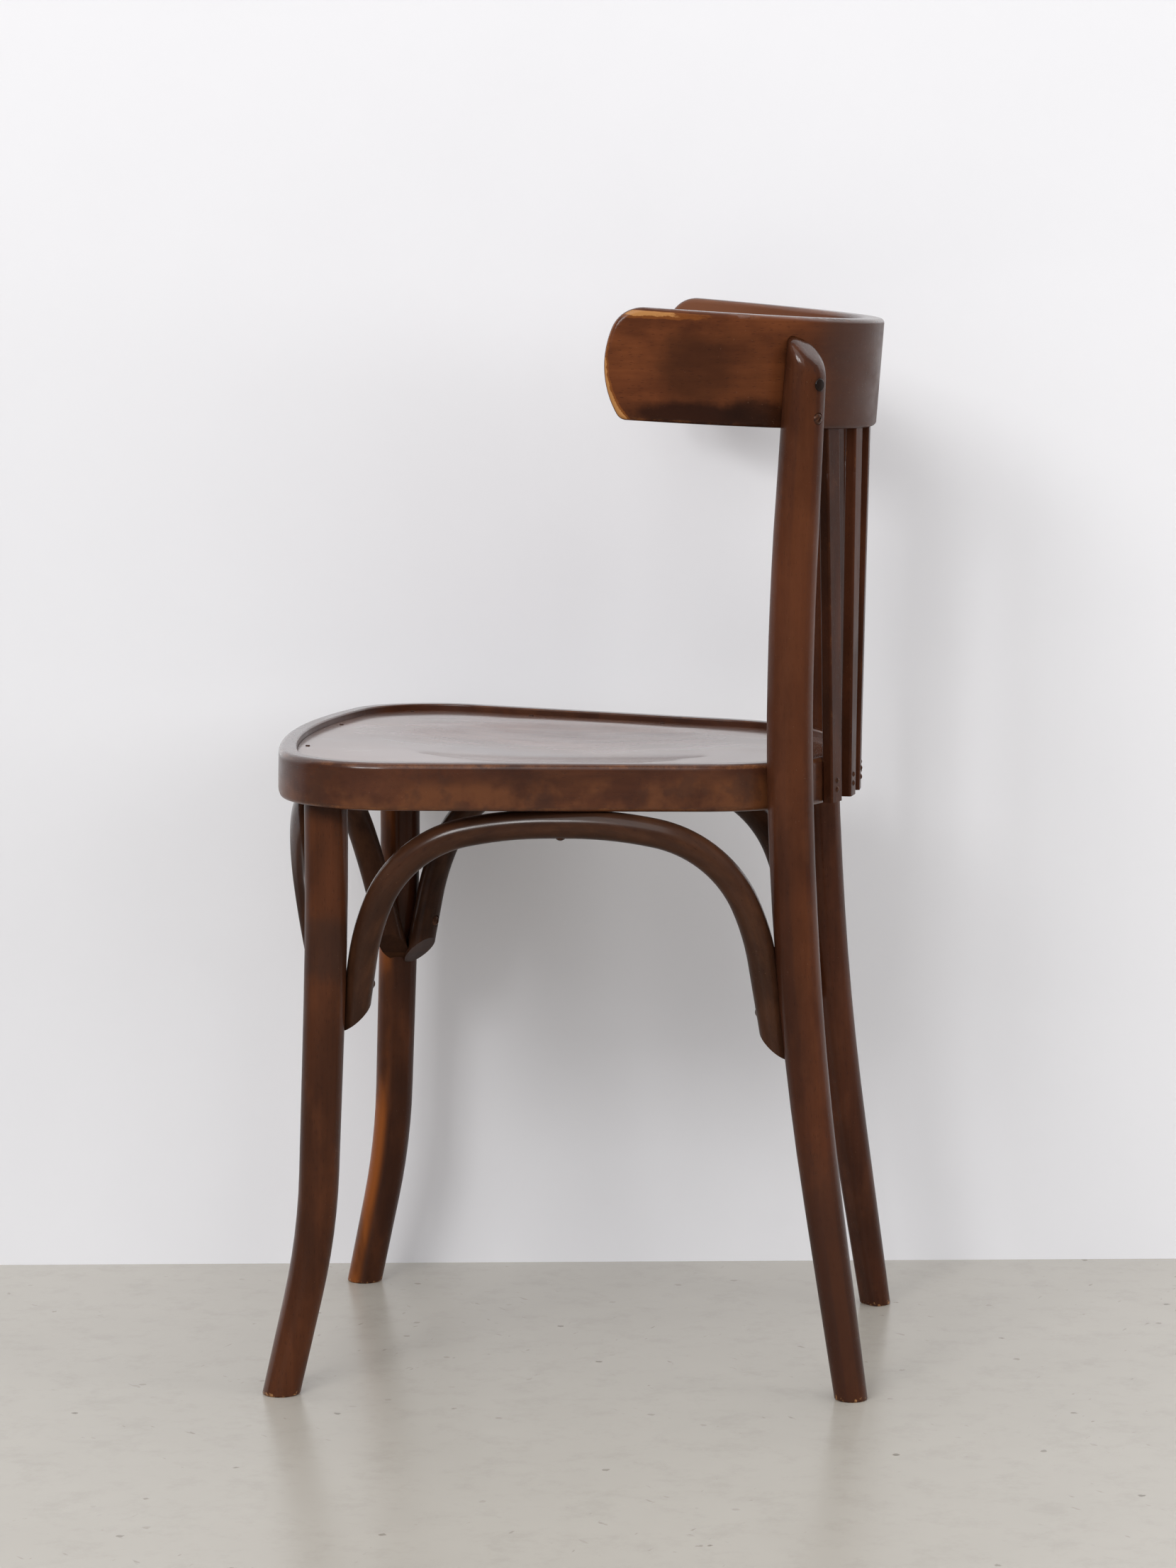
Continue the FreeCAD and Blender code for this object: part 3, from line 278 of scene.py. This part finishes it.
def make_beech_group():
    """Stained beech under old varnish: clouds of stain, grain lines and short flecks."""
    group, take, give = new_group(
        "stained_beech",
        {"Way": "Vector", "Deep": "Color", "Body": "Color", "Warm": "Color",
         "Cloud Scale": "Float", "Grain Share": "Float"},
        {"Color": "Color", "Gloss": "Float", "Height": "Float"})
    way = take["Way"]
    slow = scaled(group, way, (0.42, 1.0, 1.0))
    stain = cloud(group, slow, take["Cloud Scale"], 4.0, 0.58, 0.4)
    colour = mixed(group, fade(group, stain, 0.34, 0.66), take["Deep"], take["Body"])
    finer = maths(group, "MULTIPLY", take["Cloud Scale"], 3.4)
    patch = cloud(group, shifted(group, slow, (3.7, 1.3, 5.1)), finer, 4.0, 0.6)
    colour = mixed(group, fade(group, patch, 0.42, 0.7, 0.0, 0.4), colour, take["Warm"])
    lines = cloud(group, scaled(group, way, (9.0, 420.0, 420.0)), 1.0, 3.0, 0.6)
    broad = cloud(group, scaled(group, way, (5.0, 95.0, 95.0)), 1.0, 2.0, 0.5)
    ridge = maths(group, "MULTIPLY_ADD", broad, 0.6, maths(group, "MULTIPLY", lines, 0.4))
    shade = fade(group, ridge, 0.32, 0.68, 0.72, 1.22)
    grain = put(group, "CombineColor", {0: shade, 1: shade, 2: shade})
    colour = mixed(group, take["Grain Share"], colour,
                   mixed(group, 1.0, colour, grain.outputs[0], "MULTIPLY"))
    cells = put(group, "TexVoronoi", {"Vector": scaled(group, way, (150.0, 1250.0, 1250.0)),
                                      "Scale": 1.0})
    dash = fade(group, cells.outputs["Distance"], 0.30, 0.14)
    chosen = put(group, "SeparateColor", {0: cells.outputs["Color"]})
    dash = maths(group, "MULTIPLY", dash, fade(group, chosen.outputs[0], 0.52, 0.62))
    colour = mixed(group, maths(group, "MULTIPLY", dash, 0.5), colour, PORE)
    group.links.new(colour, give["Color"])
    smear = cloud(group, shifted(group, slow, (9.0, 4.0, 2.0)), 38.0, 3.0, 0.6)
    group.links.new(fade(group, smear, 0.3, 0.7), give["Gloss"])
    relief = maths(group, "SUBTRACT", maths(group, "MULTIPLY", ridge, 0.6),
                   maths(group, "MULTIPLY", dash, 0.7))
    group.links.new(relief, give["Height"])
    return group


def make_edge_group():
    """Mask of the rounding between the faces across a direction and those along it."""
    group, take, give = new_group("rounded_edge", {"Across": "Vector"}, {"Edge": "Float"})
    normal = put(group, "TexCoord").outputs["Normal"]
    dot = put(group, "VectorMath", {0: normal, 1: take["Across"]}, operation="DOT_PRODUCT")
    lean = maths(group, "ABSOLUTE", dot.outputs["Value"])
    edge = maths(group, "MULTIPLY", fade(group, lean, 0.12, 0.5), fade(group, lean, 0.985, 0.8))
    group.links.new(edge, give["Edge"])
    return group


def make_rub_group():
    """Varnish rubbed through to bare wood where the edge mask is strong, in patches."""
    group, take, give = new_group(
        "rubbed_through",
        {"Place": "Vector", "Color": "Color", "Edge": "Float", "Amount": "Float"},
        {"Color": "Color"})
    patch = cloud(group, take["Place"], 55.0, 5.0, 0.62)
    nibble = cloud(group, take["Place"], 900.0, 3.0, 0.6)
    level = maths(group, "MULTIPLY_ADD", nibble, 0.35, patch)
    reach = maths(group, "MULTIPLY", take["Edge"], take["Amount"])
    level = maths(group, "ADD", level, reach)
    worn = fade(group, level, 1.02, 1.24)
    haze = fade(group, level, 0.86, 1.2, 0.0, 0.55)
    share = maths(group, "MAXIMUM", worn, haze)
    share = maths(group, "MULTIPLY", share, fade(group, take["Edge"], 0.02, 0.3))
    group.links.new(mixed(group, share, take["Color"], RUBBED_EDGE), give["Color"])
    return group


def make_scratch_group():
    """Hair scratches and short nicks in two directions."""
    group, take, give = new_group(
        "hair_scratches", {"Place": "Vector", "Share": "Float"}, {"Scratch": "Float"})
    found = None
    for turn, sizes in ((0.5, (14.0, 900.0, 900.0)), (-0.9, (22.0, 700.0, 700.0))):
        spun = put(group, "VectorRotate", {"Vector": take["Place"], "Angle": turn,
                                           "Axis": (0.5, 0.6, 0.62)})
        line = cloud(group, scaled(group, spun.outputs[0], sizes), 1.0, 2.0, 0.5)
        line = fade(group, line, 0.7, 0.78)
        where = cloud(group, shifted(group, take["Place"], (turn, 2.0, 3.0)), 17.0, 2.0)
        line = maths(group, "MULTIPLY", line, fade(group, where, 0.48, 0.62))
        found = line if found is None else maths(group, "MAXIMUM", found, line)
    group.links.new(maths(group, "MULTIPLY", found, take["Share"]), give["Scratch"])
    return group


BEND = make_bend_group()
BEECH = make_beech_group()
EDGE = make_edge_group()
RUB = make_rub_group()
SCRATCH = make_scratch_group()


class Finish:
    """A material that is being built up in layers."""

    def __init__(self, name, coat, coat_gloss, shine):
        self.material = bpy.data.materials.new(name)
        self.material.use_nodes = True
        self.tree = self.material.node_tree
        self.tree.nodes.clear()
        self.shader = put(self.tree, "BsdfPrincipled", {
            "IOR": VARNISH_IOR, "Specular IOR Level": shine, "Coat Weight": coat,
            "Coat Roughness": coat_gloss, "Coat IOR": VARNISH_IOR})
        out = put(self.tree, "OutputMaterial")
        self.tree.links.new(self.shader.outputs[0], out.inputs[0])
        self.place = put(self.tree, "TexCoord").outputs["Object"]

    def parts(self):
        """The place's three coordinates."""
        return put(self.tree, "SeparateXYZ", {0: self.place}).outputs

    def normal(self):
        """The way the surface faces."""
        return put(self.tree, "TexCoord").outputs["Normal"]

    def ordered(self, order):
        """The place with its axes in another order, such as 'zxy' for grain along Z."""
        found = self.parts()
        picked = {i: found["xyz".index(axis)] for i, axis in enumerate(order)}
        return put(self.tree, "CombineXYZ", picked).outputs[0]

    def bent(self, order, centre, radius):
        """The place along a bent piece, unrolled round its centre."""
        return use(self.tree, BEND, {"Place": self.ordered(order), "Centre": centre,
                                     "Mean Radius": radius})["Way"]

    def connect(self, colour, gloss, relief):
        """Gives the shader its finished colour, roughness and relief."""
        self.tree.links.new(colour, self.shader.inputs["Base Color"])
        self.tree.links.new(gloss, self.shader.inputs["Roughness"])
        bump = put(self.tree, "Bump", {"Height": relief, "Strength": RELIEF_SHARE,
                                       "Distance": RELIEF_HEIGHT})
        self.tree.links.new(bump.outputs[0], self.shader.inputs["Normal"])


def varnish(name, way_of, deep, body, warm, layers=(), clouds=14.0, grain=0.45,
            scratches=0.6, gloss=(0.28, 0.44), coat=COAT, coat_gloss=COAT_GLOSS, shine=SHINE):
    """Stained and varnished wood, glossier on top. way_of gives the way its grain runs."""
    finish = Finish(name, coat, coat_gloss, shine)
    tree = finish.tree
    wood = use(tree, BEECH, {"Way": way_of(finish), "Deep": deep, "Body": body, "Warm": warm,
                             "Cloud Scale": clouds, "Grain Share": grain})
    colour = wood["Color"]
    for layer in layers:
        colour = layer(finish, colour)
    lines = use(tree, SCRATCH, {"Place": finish.place, "Share": scratches})["Scratch"]
    colour = mixed(tree, maths(tree, "MULTIPLY", lines, 0.4), colour, SCRATCHED)
    upward = put(tree, "SeparateXYZ", {0: finish.normal()}).outputs[2]
    thickness = fade(tree, upward, 0.0, 0.45, coat, TOP_COAT)
    tree.links.new(thickness, finish.shader.inputs["Coat Weight"])
    rough = maths(tree, "MULTIPLY_ADD", wood["Gloss"], gloss[1] - gloss[0], gloss[0])
    rough = maths(tree, "MULTIPLY_ADD", lines, 0.2, rough)
    ripple = cloud(tree, finish.place, 34.0, 2.0, 0.4)
    relief = maths(tree, "MULTIPLY_ADD", lines, -0.4, wood["Height"])
    relief = maths(tree, "MULTIPLY_ADD", ripple, 0.9, relief)
    finish.connect(colour, rough, relief)
    return finish.material


def dress(material, *names):
    """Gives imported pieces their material."""
    for name in names:
        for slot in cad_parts[name].material_slots:
            slot.material = material


def soften_top(mesh, side):
    """Rounds a post's sawn top: cuts it across below the top, and draws the higher cuts in."""
    slope = Vector((side * SAWN_SLOPE[0], SAWN_SLOPE[1], SAWN_SLOPE[2])).normalized()
    top = Vector((side * SAWN_TOP[0], SAWN_TOP[1], SAWN_TOP[2]))
    bpy.ops.object.mode_set(mode="EDIT")
    for share in SAWN_CUTS:
        bpy.ops.mesh.select_all(action="SELECT")
        bpy.ops.mesh.bisect(plane_co=top - slope * SAWN_ROUNDING * share, plane_no=slope)
    bpy.ops.object.mode_set(mode="OBJECT")
    for vertex in mesh.vertices:
        away = vertex.co - top
        depth = -away.dot(slope)
        if depth < SAWN_ROUNDING:
            rest = SAWN_ROUNDING - max(depth, 0.0)
            inset = SAWN_ROUNDING - math.sqrt(SAWN_ROUNDING ** 2 - rest ** 2)
            aside = away + slope * depth
            if aside.length > inset:
                vertex.co -= aside.normalized() * inset * SAWN_SHARE


def polish(material, slot, *names):
    """Stands a copy with merged facets in for each piece, so that its bends shade smoothly."""
    for name in names:
        piece = bpy.data.objects.new(name + "_smooth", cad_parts[name].data.copy())
        bpy.context.scene.collection.objects.link(piece)
        bpy.ops.object.select_all(action="DESELECT")
        piece.select_set(True)
        bpy.context.view_layer.objects.active = piece
        bpy.ops.object.mode_set(mode="EDIT")
        bpy.ops.mesh.select_all(action="SELECT")
        bpy.ops.mesh.remove_doubles(threshold=MERGED_WITHIN)
        bpy.ops.object.mode_set(mode="OBJECT")
        if name.startswith("rear_post"):
            soften_top(piece.data, 1.0 if name.endswith("left") else -1.0)
        bpy.ops.mesh.customdata_custom_splitnormals_clear()
        bpy.ops.object.shade_smooth_by_angle(angle=SOFTEST_CREASE)
        piece.data.materials.clear()
        piece.data.materials.append(material)
        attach(piece, "root")
        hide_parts(name)


# Layers of stain and wear.


def rubbed(across, amount):
    """Rounded edges rubbed through, in patches."""
    def layer(finish, colour):
        mask = use(finish.tree, EDGE, {"Across": across})["Edge"]
        return use(finish.tree, RUB, {"Place": finish.place, "Color": colour, "Edge": mask,
                                      "Amount": amount})["Color"]
    return layer


# Patches of stain, and also patches of painted shade where the pieces meet.
def stain_and_shade_patch(centre, reach, shade, share, ragged=0.3, grit=60.0):
    """One patch of another tone at a place on the piece."""
    def layer(finish, colour):
        mask = spot(finish.tree, finish.place, centre, reach, ragged, grit)
        return mixed(finish.tree, product(finish.tree, mask, share), colour, shade)
    return layer


def facing(direction, low, high, shade, share, scale=30.0):
    """A tone on the side that faces a direction, broken up by clouds."""
    def layer(finish, colour):
        tree = finish.tree
        lean = put(tree, "VectorMath", {0: finish.normal(), 1: direction},
                   operation="DOT_PRODUCT")
        side = fade(tree, lean.outputs["Value"], low, high)
        drift = cloud(tree, scaled(tree, finish.place, (1.0, 1.0, 0.35)), scale, 3.0, 0.55)
        mask = product(tree, side, fade(tree, drift, 0.3, 0.62), share)
        return mixed(tree, mask, colour, shade)
    return layer


def foot_wear(finish, colour):
    """Chipped to bare wood round the bottom edge."""
    tree = finish.tree
    chips = cloud(tree, finish.place, 260.0, 4.0, 0.6)
    height = maths(tree, "MULTIPLY_ADD", chips, 0.022, finish.parts()[2])
    return mixed(tree, fade(tree, height, 0.0125, 0.0105), colour, CHIPPED_FOOT)


def arm_place(finish):
    """A place on the arms: how far back it is, how far up the leaning face, and zero."""
    tree = finish.tree
    away = shifted(tree, finish.place, -RAIL_FOOT)
    height = put(tree, "VectorMath", {0: away, 1: RAIL_UP}, operation="DOT_PRODUCT")
    return put(tree, "CombineXYZ", {0: finish.parts()[1], 1: height.outputs["Value"]}).outputs[0]


def rail_wear(finish, colour):
    """Dark clouds on the arms, painted shade on the back, a painted sheen on the insides, and
    outer edges rubbed bare.
    """
    tree = finish.tree
    side = arm_place(finish)
    along = put(tree, "SeparateXYZ", {0: side}).outputs
    for centre, reach, shade, share in ARM_CLOUDS:
        mask = spot(tree, side, centre, reach, 0.35, 45.0)
        colour = mixed(tree, product(tree, mask, share), colour, shade)
    # Painted shade on the back of the rail, where it curves round behind.
    rear = fade(tree, along[0], 0.165, 0.195, 0.0, 0.8)
    colour = mixed(tree, rear, colour, RAIL_BACK_PAINTED_SHADE)
    outward = put(tree, "VectorMath", {0: finish.normal(),
                                       1: scaled(tree, finish.place, (1.0, 0.0, 0.0))},
                  operation="DOT_PRODUCT")
    outside = fade(tree, outward.outputs["Value"], 0.09, 0.13)
    # Painted sheen on the insides of the arms.
    inside_sheen = fade(tree, outward.outputs["Value"], -0.02, -0.18, 0.0, 0.8)
    colour = mixed(tree, inside_sheen, colour, RAIL_INSIDE_SHEEN)
    top = product(tree, fade(tree, along[1], RAIL_DEPTH - 0.012, RAIL_DEPTH - 0.004),
                  fade(tree, along[1], RAIL_DEPTH - 0.001, RAIL_DEPTH - 0.0026))
    front = fade(tree, along[0], 0.165, 0.050)
    nose = put(tree, "VectorMath", {0: side, 1: RAIL_NOSE}, operation="DISTANCE")
    rim = product(tree, fade(tree, nose.outputs["Value"], 0.058, 0.066),
                  fade(tree, along[0], 0.095, 0.070))
    outer = cloud(tree, finish.place, 26.0, 4.0, 0.6)
    fine = cloud(tree, scaled(tree, side, (0.35, 1.0, 1.0)), 190.0, 5.0, 0.7)
    reach = maths(tree, "MAXIMUM", product(tree, top, front), product(tree, rim, 1.05))
    level = maths(tree, "MULTIPLY_ADD", outer, 0.6, product(tree, fine, 0.7))
    level = product(tree, maths(tree, "ADD", level, reach), outside)
    colour = mixed(tree, fade(tree, level, 1.12, 1.28, 0.0, 0.65), colour, THIN_VARNISH)
    return mixed(tree, fade(tree, level, 1.42, 1.52, 0.0, 0.85), colour, BARE_WOOD)


def ring_wear(finish, colour):
    """The lower half of the ring's side is warmer, with dull clouds all over."""
    tree = finish.tree
    height = finish.parts()[2]
    drift = cloud(tree, finish.place, 26.0, 4.0, 0.6)
    low = product(tree, fade(tree, height, 0.452, 0.438), fade(tree, drift, 0.38, 0.62), 0.7)
    colour = mixed(tree, low, colour, RING_LOW)
    shade = cloud(tree, shifted(tree, finish.place, (4.0, 2.0, 1.0)), 38.0, 4.0, 0.6)
    return mixed(tree, fade(tree, shade, 0.56, 0.68, 0.0, 0.45), colour, RING_DULL)


# Directions of the grain.


def upright_grain(finish):
    """Up the legs, posts and slats."""
    return finish.ordered("zxy")


def ring_grain(finish):
    return finish.bent("xyz", *RING_BEND)


def rail_grain(finish):
    return finish.bent("xyz", *RAIL_BEND)


def side_arch_grain(finish):
    return finish.bent("yzx", *SIDE_ARCH_BEND)


def front_arch_grain(finish):
    return finish.bent("xzy", *FRONT_ARCH_BEND)


def panel_grain(finish):
    """From the front of the seat to its back."""
    return finish.ordered("yxz")


# The pieces in their finishes.


def make_legs():
    """The near leg is grimy by the arches and has painted shade under the ring; the far one is
    amber in front, with painted shade on its inner rear side.
    """
    near = (stain_and_shade_patch((0.175, -0.17, 0.325), (0.05, 0.05, 0.03), LEG_GRIME, 0.45),
            # Painted shade under the ring.
            stain_and_shade_patch((0.175, -0.16, 0.43), (0.05, 0.05, 0.02), DARK_STAIN_AND_SHADE, 0.5),
            foot_wear)
    far = (facing((0.3, -0.95, 0.0), 0.25, 0.6, LEG_AMBER, 1.0),
           # Painted shade on the side facing the inside and the back.
           facing((0.75, 0.65, 0.0), 0.35, 0.75, LEG_SHADED_SIDE, 0.7),
           foot_wear)
    for layers, name, node in ((near, "near_leg_varnish", "front_leg_left"),
                               (far, "far_leg_varnish", "front_leg_right")):
        wood = varnish(name, upright_grain, *LEG_TONES, layers=layers, clouds=11.0)
        polish(wood, "frame_wood", node)


def make_posts():
    """Painted shade below the rail and a dark stain round the plug. The left one is warmer
    halfway, grimy at its foot.
    """
    # The first two patches are painted shade below the rail. The last one is a dark stain round
    # the plug.
    worn = (stain_and_shade_patch((0.152, 0.192, 0.665), (0.02, 0.012, 0.035), DARK_STAIN_AND_SHADE, 0.6),
            stain_and_shade_patch((-0.152, 0.192, 0.610), (0.02, 0.012, 0.045), DARK_STAIN_AND_SHADE, 0.6),
            stain_and_shade_patch((0.165, 0.215, 0.09), (0.08, 0.08, 0.14), POST_GRIME, 0.6),
            stain_and_shade_patch((0.155, 0.18, 0.53), (0.08, 0.08, 0.15), POST_GLOW, 0.3),
            stain_and_shade_patch(PLUG_PLACE, (0.007, 0.007, 0.007), DARK_STAIN_AND_SHADE, 0.8, 0.1, 300.0))
    for side, name in ((1.0, "rear_post_left"), (-1.0, "rear_post_right")):
        outer = facing((side, 0.3, 0.0), 0.93, 0.995, POST_AMBER, 0.12, 12.0)
        wood = varnish(name + "_varnish", upright_grain, *POST_TONES,
                       layers=worn + (outer, foot_wear))
        polish(wood, "frame_wood", name)


def make_back():
    """The rail and the slats, duller than the rest."""
    rail = varnish("rail_varnish", rail_grain, *RAIL_TONES,
                   layers=(rail_wear, rubbed(RAIL_UP, 0.2)),
                   coat=0.13, coat_gloss=0.24, shine=0.03)
    dress(rail, "top_rail")
    slats = varnish("slat_varnish", upright_grain, *SLAT_TONES,
                    layers=(rubbed((0.0, 1.0, 0.0), 0.15),), coat=0.13, shine=0.03)
    dress(slats, *["back_slat_%d" % (number + 1) for number in range(SLATS)])


def make_arches():
    """The arches under the seat, the front one duller than the two at the sides."""
    sides = varnish("side_arch_varnish", side_arch_grain, *ARCH_TONES, coat_gloss=0.2)
    polish(sides, "arch_wood", "side_arch_left", "side_arch_right")
    front = varnish("front_arch_varnish", front_arch_grain, *ARCH_TONES, coat=0.08,
                    coat_gloss=0.2, shine=0.02)
    polish(front, "arch_wood", "front_arch")


def make_seat():
    """The ring, worn at its edges, and the pressed panel in it, paler partly in its own tone and
    partly from a painted sheen.
    """
    ring = varnish("ring_varnish", ring_grain, *RING_TONES,
                   layers=(ring_wear, rubbed((0.0, 0.0, 1.0), 0.28)),
                   coat=0.3, coat_gloss=0.2, shine=0.12)
    dress(ring, "seat_ring")
    # Lighter tones, partly a painted sheen.
    panel = varnish("pressed_seat_varnish", panel_grain, *PANEL_TONES_AND_SHEEN, clouds=9.0, grain=0.75,
                    scratches=0.9, gloss=(0.3, 0.46), shine=0.3)
    polish(panel, "seat_plywood", "seat_panel")


def make_plugs():
    """A dark wooden plug over each upper rail screw, a little proud of the post."""
    material = varnish("plug_varnish", upright_grain, *PLUG_TONES)
    for side, name in ((1.0, "rail_screw_plug_left"), (-1.0, "rail_screw_plug_right")):
        bpy.ops.object.select_all(action="DESELECT")
        turn = (math.pi / 2, 0.0, side * (math.pi / 2 + PLUG_TURN))
        bpy.ops.mesh.primitive_cylinder_add(
            vertices=48, radius=PLUG_RADIUS, depth=PLUG_DEPTH, rotation=turn,
            location=(side * PLUG_PLACE.x, PLUG_PLACE.y, PLUG_PLACE.z))
        plug = bpy.context.object
        plug.name = name
        bpy.ops.object.transform_apply(location=True, rotation=True, scale=True)
        rounding = plug.modifiers.new("rounding", "BEVEL")
        rounding.width = PLUG_ROUNDING
        rounding.segments = 3
        bpy.ops.object.modifier_apply(modifier=rounding.name)
        bpy.ops.object.shade_smooth_by_angle(angle=SOFTEST_CREASE)
        plug.data.materials.append(material)
        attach(plug, "root")


def steel(name, colour, filled_above=None):
    """Browned steel, lacquered over with the wood. Heads above a height may be filled over."""
    finish = Finish(name, COAT, 0.25, SHINE)
    tree = finish.tree
    spots = cloud(tree, finish.place, 700.0, 3.0, 0.6)
    shade = mixed(tree, fade(tree, spots, 0.4, 0.65), colour, TARNISH)
    if filled_above is not None:
        above = fade(tree, finish.parts()[2], filled_above, filled_above + 0.002)
        shade = mixed(tree, above, shade, FILLER)
    finish.shader.inputs["Metallic"].default_value = 0.3
    finish.connect(shade, fade(tree, spots, 0.3, 0.7, 0.3, 0.5), spots)
    return finish.material


def make_metal():
    dress(steel("browned_steel", BROWNED), "side_arch_end_screws",
          "front_arch_end_screws", "arch_crown_screws", "rear_post_screws", "slat_nails")
    dress(steel("rail_screw_steel", RAIL_SCREW, RAIL_FILLED), "top_rail_screws")
    dress(steel("panel_pin_steel", PIN), "seat_panel_pins")


# Room, lamps and camera.


def plain_surface(name, colour, other, speck, rough, specks=0.0, see_through=False):
    """A wall or floor: a slow drift of tone, and by the share of specks fine mottling,
    scratches and scattered flecks. One that is see-through is clear from behind."""
    material = bpy.data.materials.new(name)
    material.use_nodes = True
    tree = material.node_tree
    tree.nodes.clear()
    place = put(tree, "TexCoord").outputs["Object"]
    drift = cloud(tree, place, 2.2, 5.0, 0.62)
    shade = mixed(tree, fade(tree, drift, 0.34, 0.66), colour, other)
    mottle = cloud(tree, shifted(tree, place, (3.0, 1.0, 0.0)), 26.0, 6.0, 0.72)
    shade = mixed(tree, fade(tree, mottle, 0.46, 0.72, 0.0, 0.15 * specks), shade, speck)
    lines = use(tree, SCRATCH, {"Place": scaled(tree, place, (0.2, 0.2, 0.2)), "Share": specks})
    shade = mixed(tree, product(tree, lines["Scratch"], 0.6 * specks), shade, speck)
    cells = put(tree, "TexVoronoi", {"Vector": place, "Scale": 48.0})
    ragged = maths(tree, "MULTIPLY_ADD", cloud(tree, place, 300.0, 3.0), 0.22,
                   cells.outputs["Distance"])
    chosen = put(tree, "SeparateColor", {0: cells.outputs["Color"]}).outputs
    fleck = product(tree, fade(tree, ragged, 0.26, 0.20), fade(tree, chosen[0], 0.80, 0.84),
                    chosen[1], specks)
    shade = mixed(tree, fleck, shade, speck)
    shader = put(tree, "BsdfPrincipled", {"Base Color": shade, "Roughness": rough})
    out = put(tree, "OutputMaterial")
    surface = shader.outputs[0]
    if see_through:
        clear = put(tree, "BsdfTransparent")
        side = put(tree, "NewGeometry").outputs["Backfacing"]
        both = put(tree, "MixShader", {0: side, 1: surface, 2: clear.outputs[0]})
        surface = both.outputs[0]
    tree.links.new(surface, out.inputs[0])
    return material


def make_room():
    """A pale floor, and a paler wall close behind the chair."""
    bpy.ops.object.select_all(action="DESELECT")
    bpy.ops.mesh.primitive_plane_add(size=FLOOR_SIZE, location=(0.0, 0.0, 0.0))
    floor = bpy.context.object
    floor.name = "floor"
    floor.data.materials.append(plain_surface(
        "pale_floor", *FLOOR_TONES, rough=0.27, specks=0.8))
    bpy.ops.mesh.primitive_plane_add(
        size=WALL_SIZE, location=WALL_POINT + Vector((0.0, 0.0, WALL_SIZE / 2)),
        rotation=(math.pi / 2, 0.0, math.pi / 2 + WALL_TURN))
    wall = bpy.context.object
    wall.name = "wall"
    wall.data.materials.append(plain_surface(
        "pale_wall", *WALL_TONES, rough=0.9, see_through=True))


def soft_lamp(name, place, size, power, mirrored=True):
    """A square lamp that shines at the chair. Glossy surfaces don't show an unmirrored one."""
    data = bpy.data.lights.new(name, "AREA")
    data.shape = "SQUARE"
    data.size = size
    data.energy = power
    lamp = bpy.data.objects.new(name, data)
    lamp.location = place
    lamp.visible_glossy = mirrored
    lamp.rotation_euler = (LAMP_AIM - Vector(place)).to_track_quat("-Z", "Y").to_euler()
    bpy.context.scene.collection.objects.link(lamp)


def make_world():
    """Even light from a pale room, which the varnish mirrors more faintly."""
    world = bpy.data.worlds.new("room_light")
    world.use_nodes = True
    tree = world.node_tree
    sky = tree.nodes["Background"]
    sky.inputs["Color"].default_value = SKY
    glossy = put(tree, "LightPath").outputs["Is Glossy Ray"]
    strength = fade(tree, glossy, 0.0, 1.0, ROOM_LIGHT, ROOM_MIRRORED)
    tree.links.new(strength, sky.inputs["Strength"])
    bpy.context.scene.world = world


def make_lamps():
    """A window of two panes, light off the ceiling, and two weaker lights from the rear."""
    soft_lamp("window_pane_left", (3.75, -1.45, 2.6), 1.1, 41.0)
    soft_lamp("window_pane_right", (3.9, -0.3, 2.7), 0.7, 25.0)
    soft_lamp("ceiling", (2.2, -0.2, 3.0), 3.0, 25.0)
    soft_lamp("rear_window", (0.8, 2.9, 1.3), 1.5, 19.0, mirrored=False)
    soft_lamp("rear_wall", (3.4, 2.6, 1.8), 2.0, 16.0, mirrored=False)


def make_camera():
    """The camera at the photograph's angle."""
    data = bpy.data.cameras.new("eye")
    data.lens = EYE_LENS
    data.sensor_width = EYE_FILM
    eye = bpy.data.objects.new("eye", data)
    turn = Matrix.Rotation(math.pi / 2 + EYE_TURN, 4, "Z")
    dip = Matrix.Rotation(math.pi / 2 - EYE_DIP, 4, "X")
    roll = Matrix.Rotation(EYE_ROLL, 4, "Z")
    eye.matrix_world = Matrix.Translation(EYE) @ turn @ dip @ roll
    bpy.context.scene.collection.objects.link(eye)
    bpy.context.scene.camera = eye


make_legs()
make_posts()
make_back()
make_arches()
make_seat()
make_metal()
make_plugs()
make_camera()
make_room()
make_world()
make_lamps()
bpy.context.scene.view_settings.view_transform = "Standard"
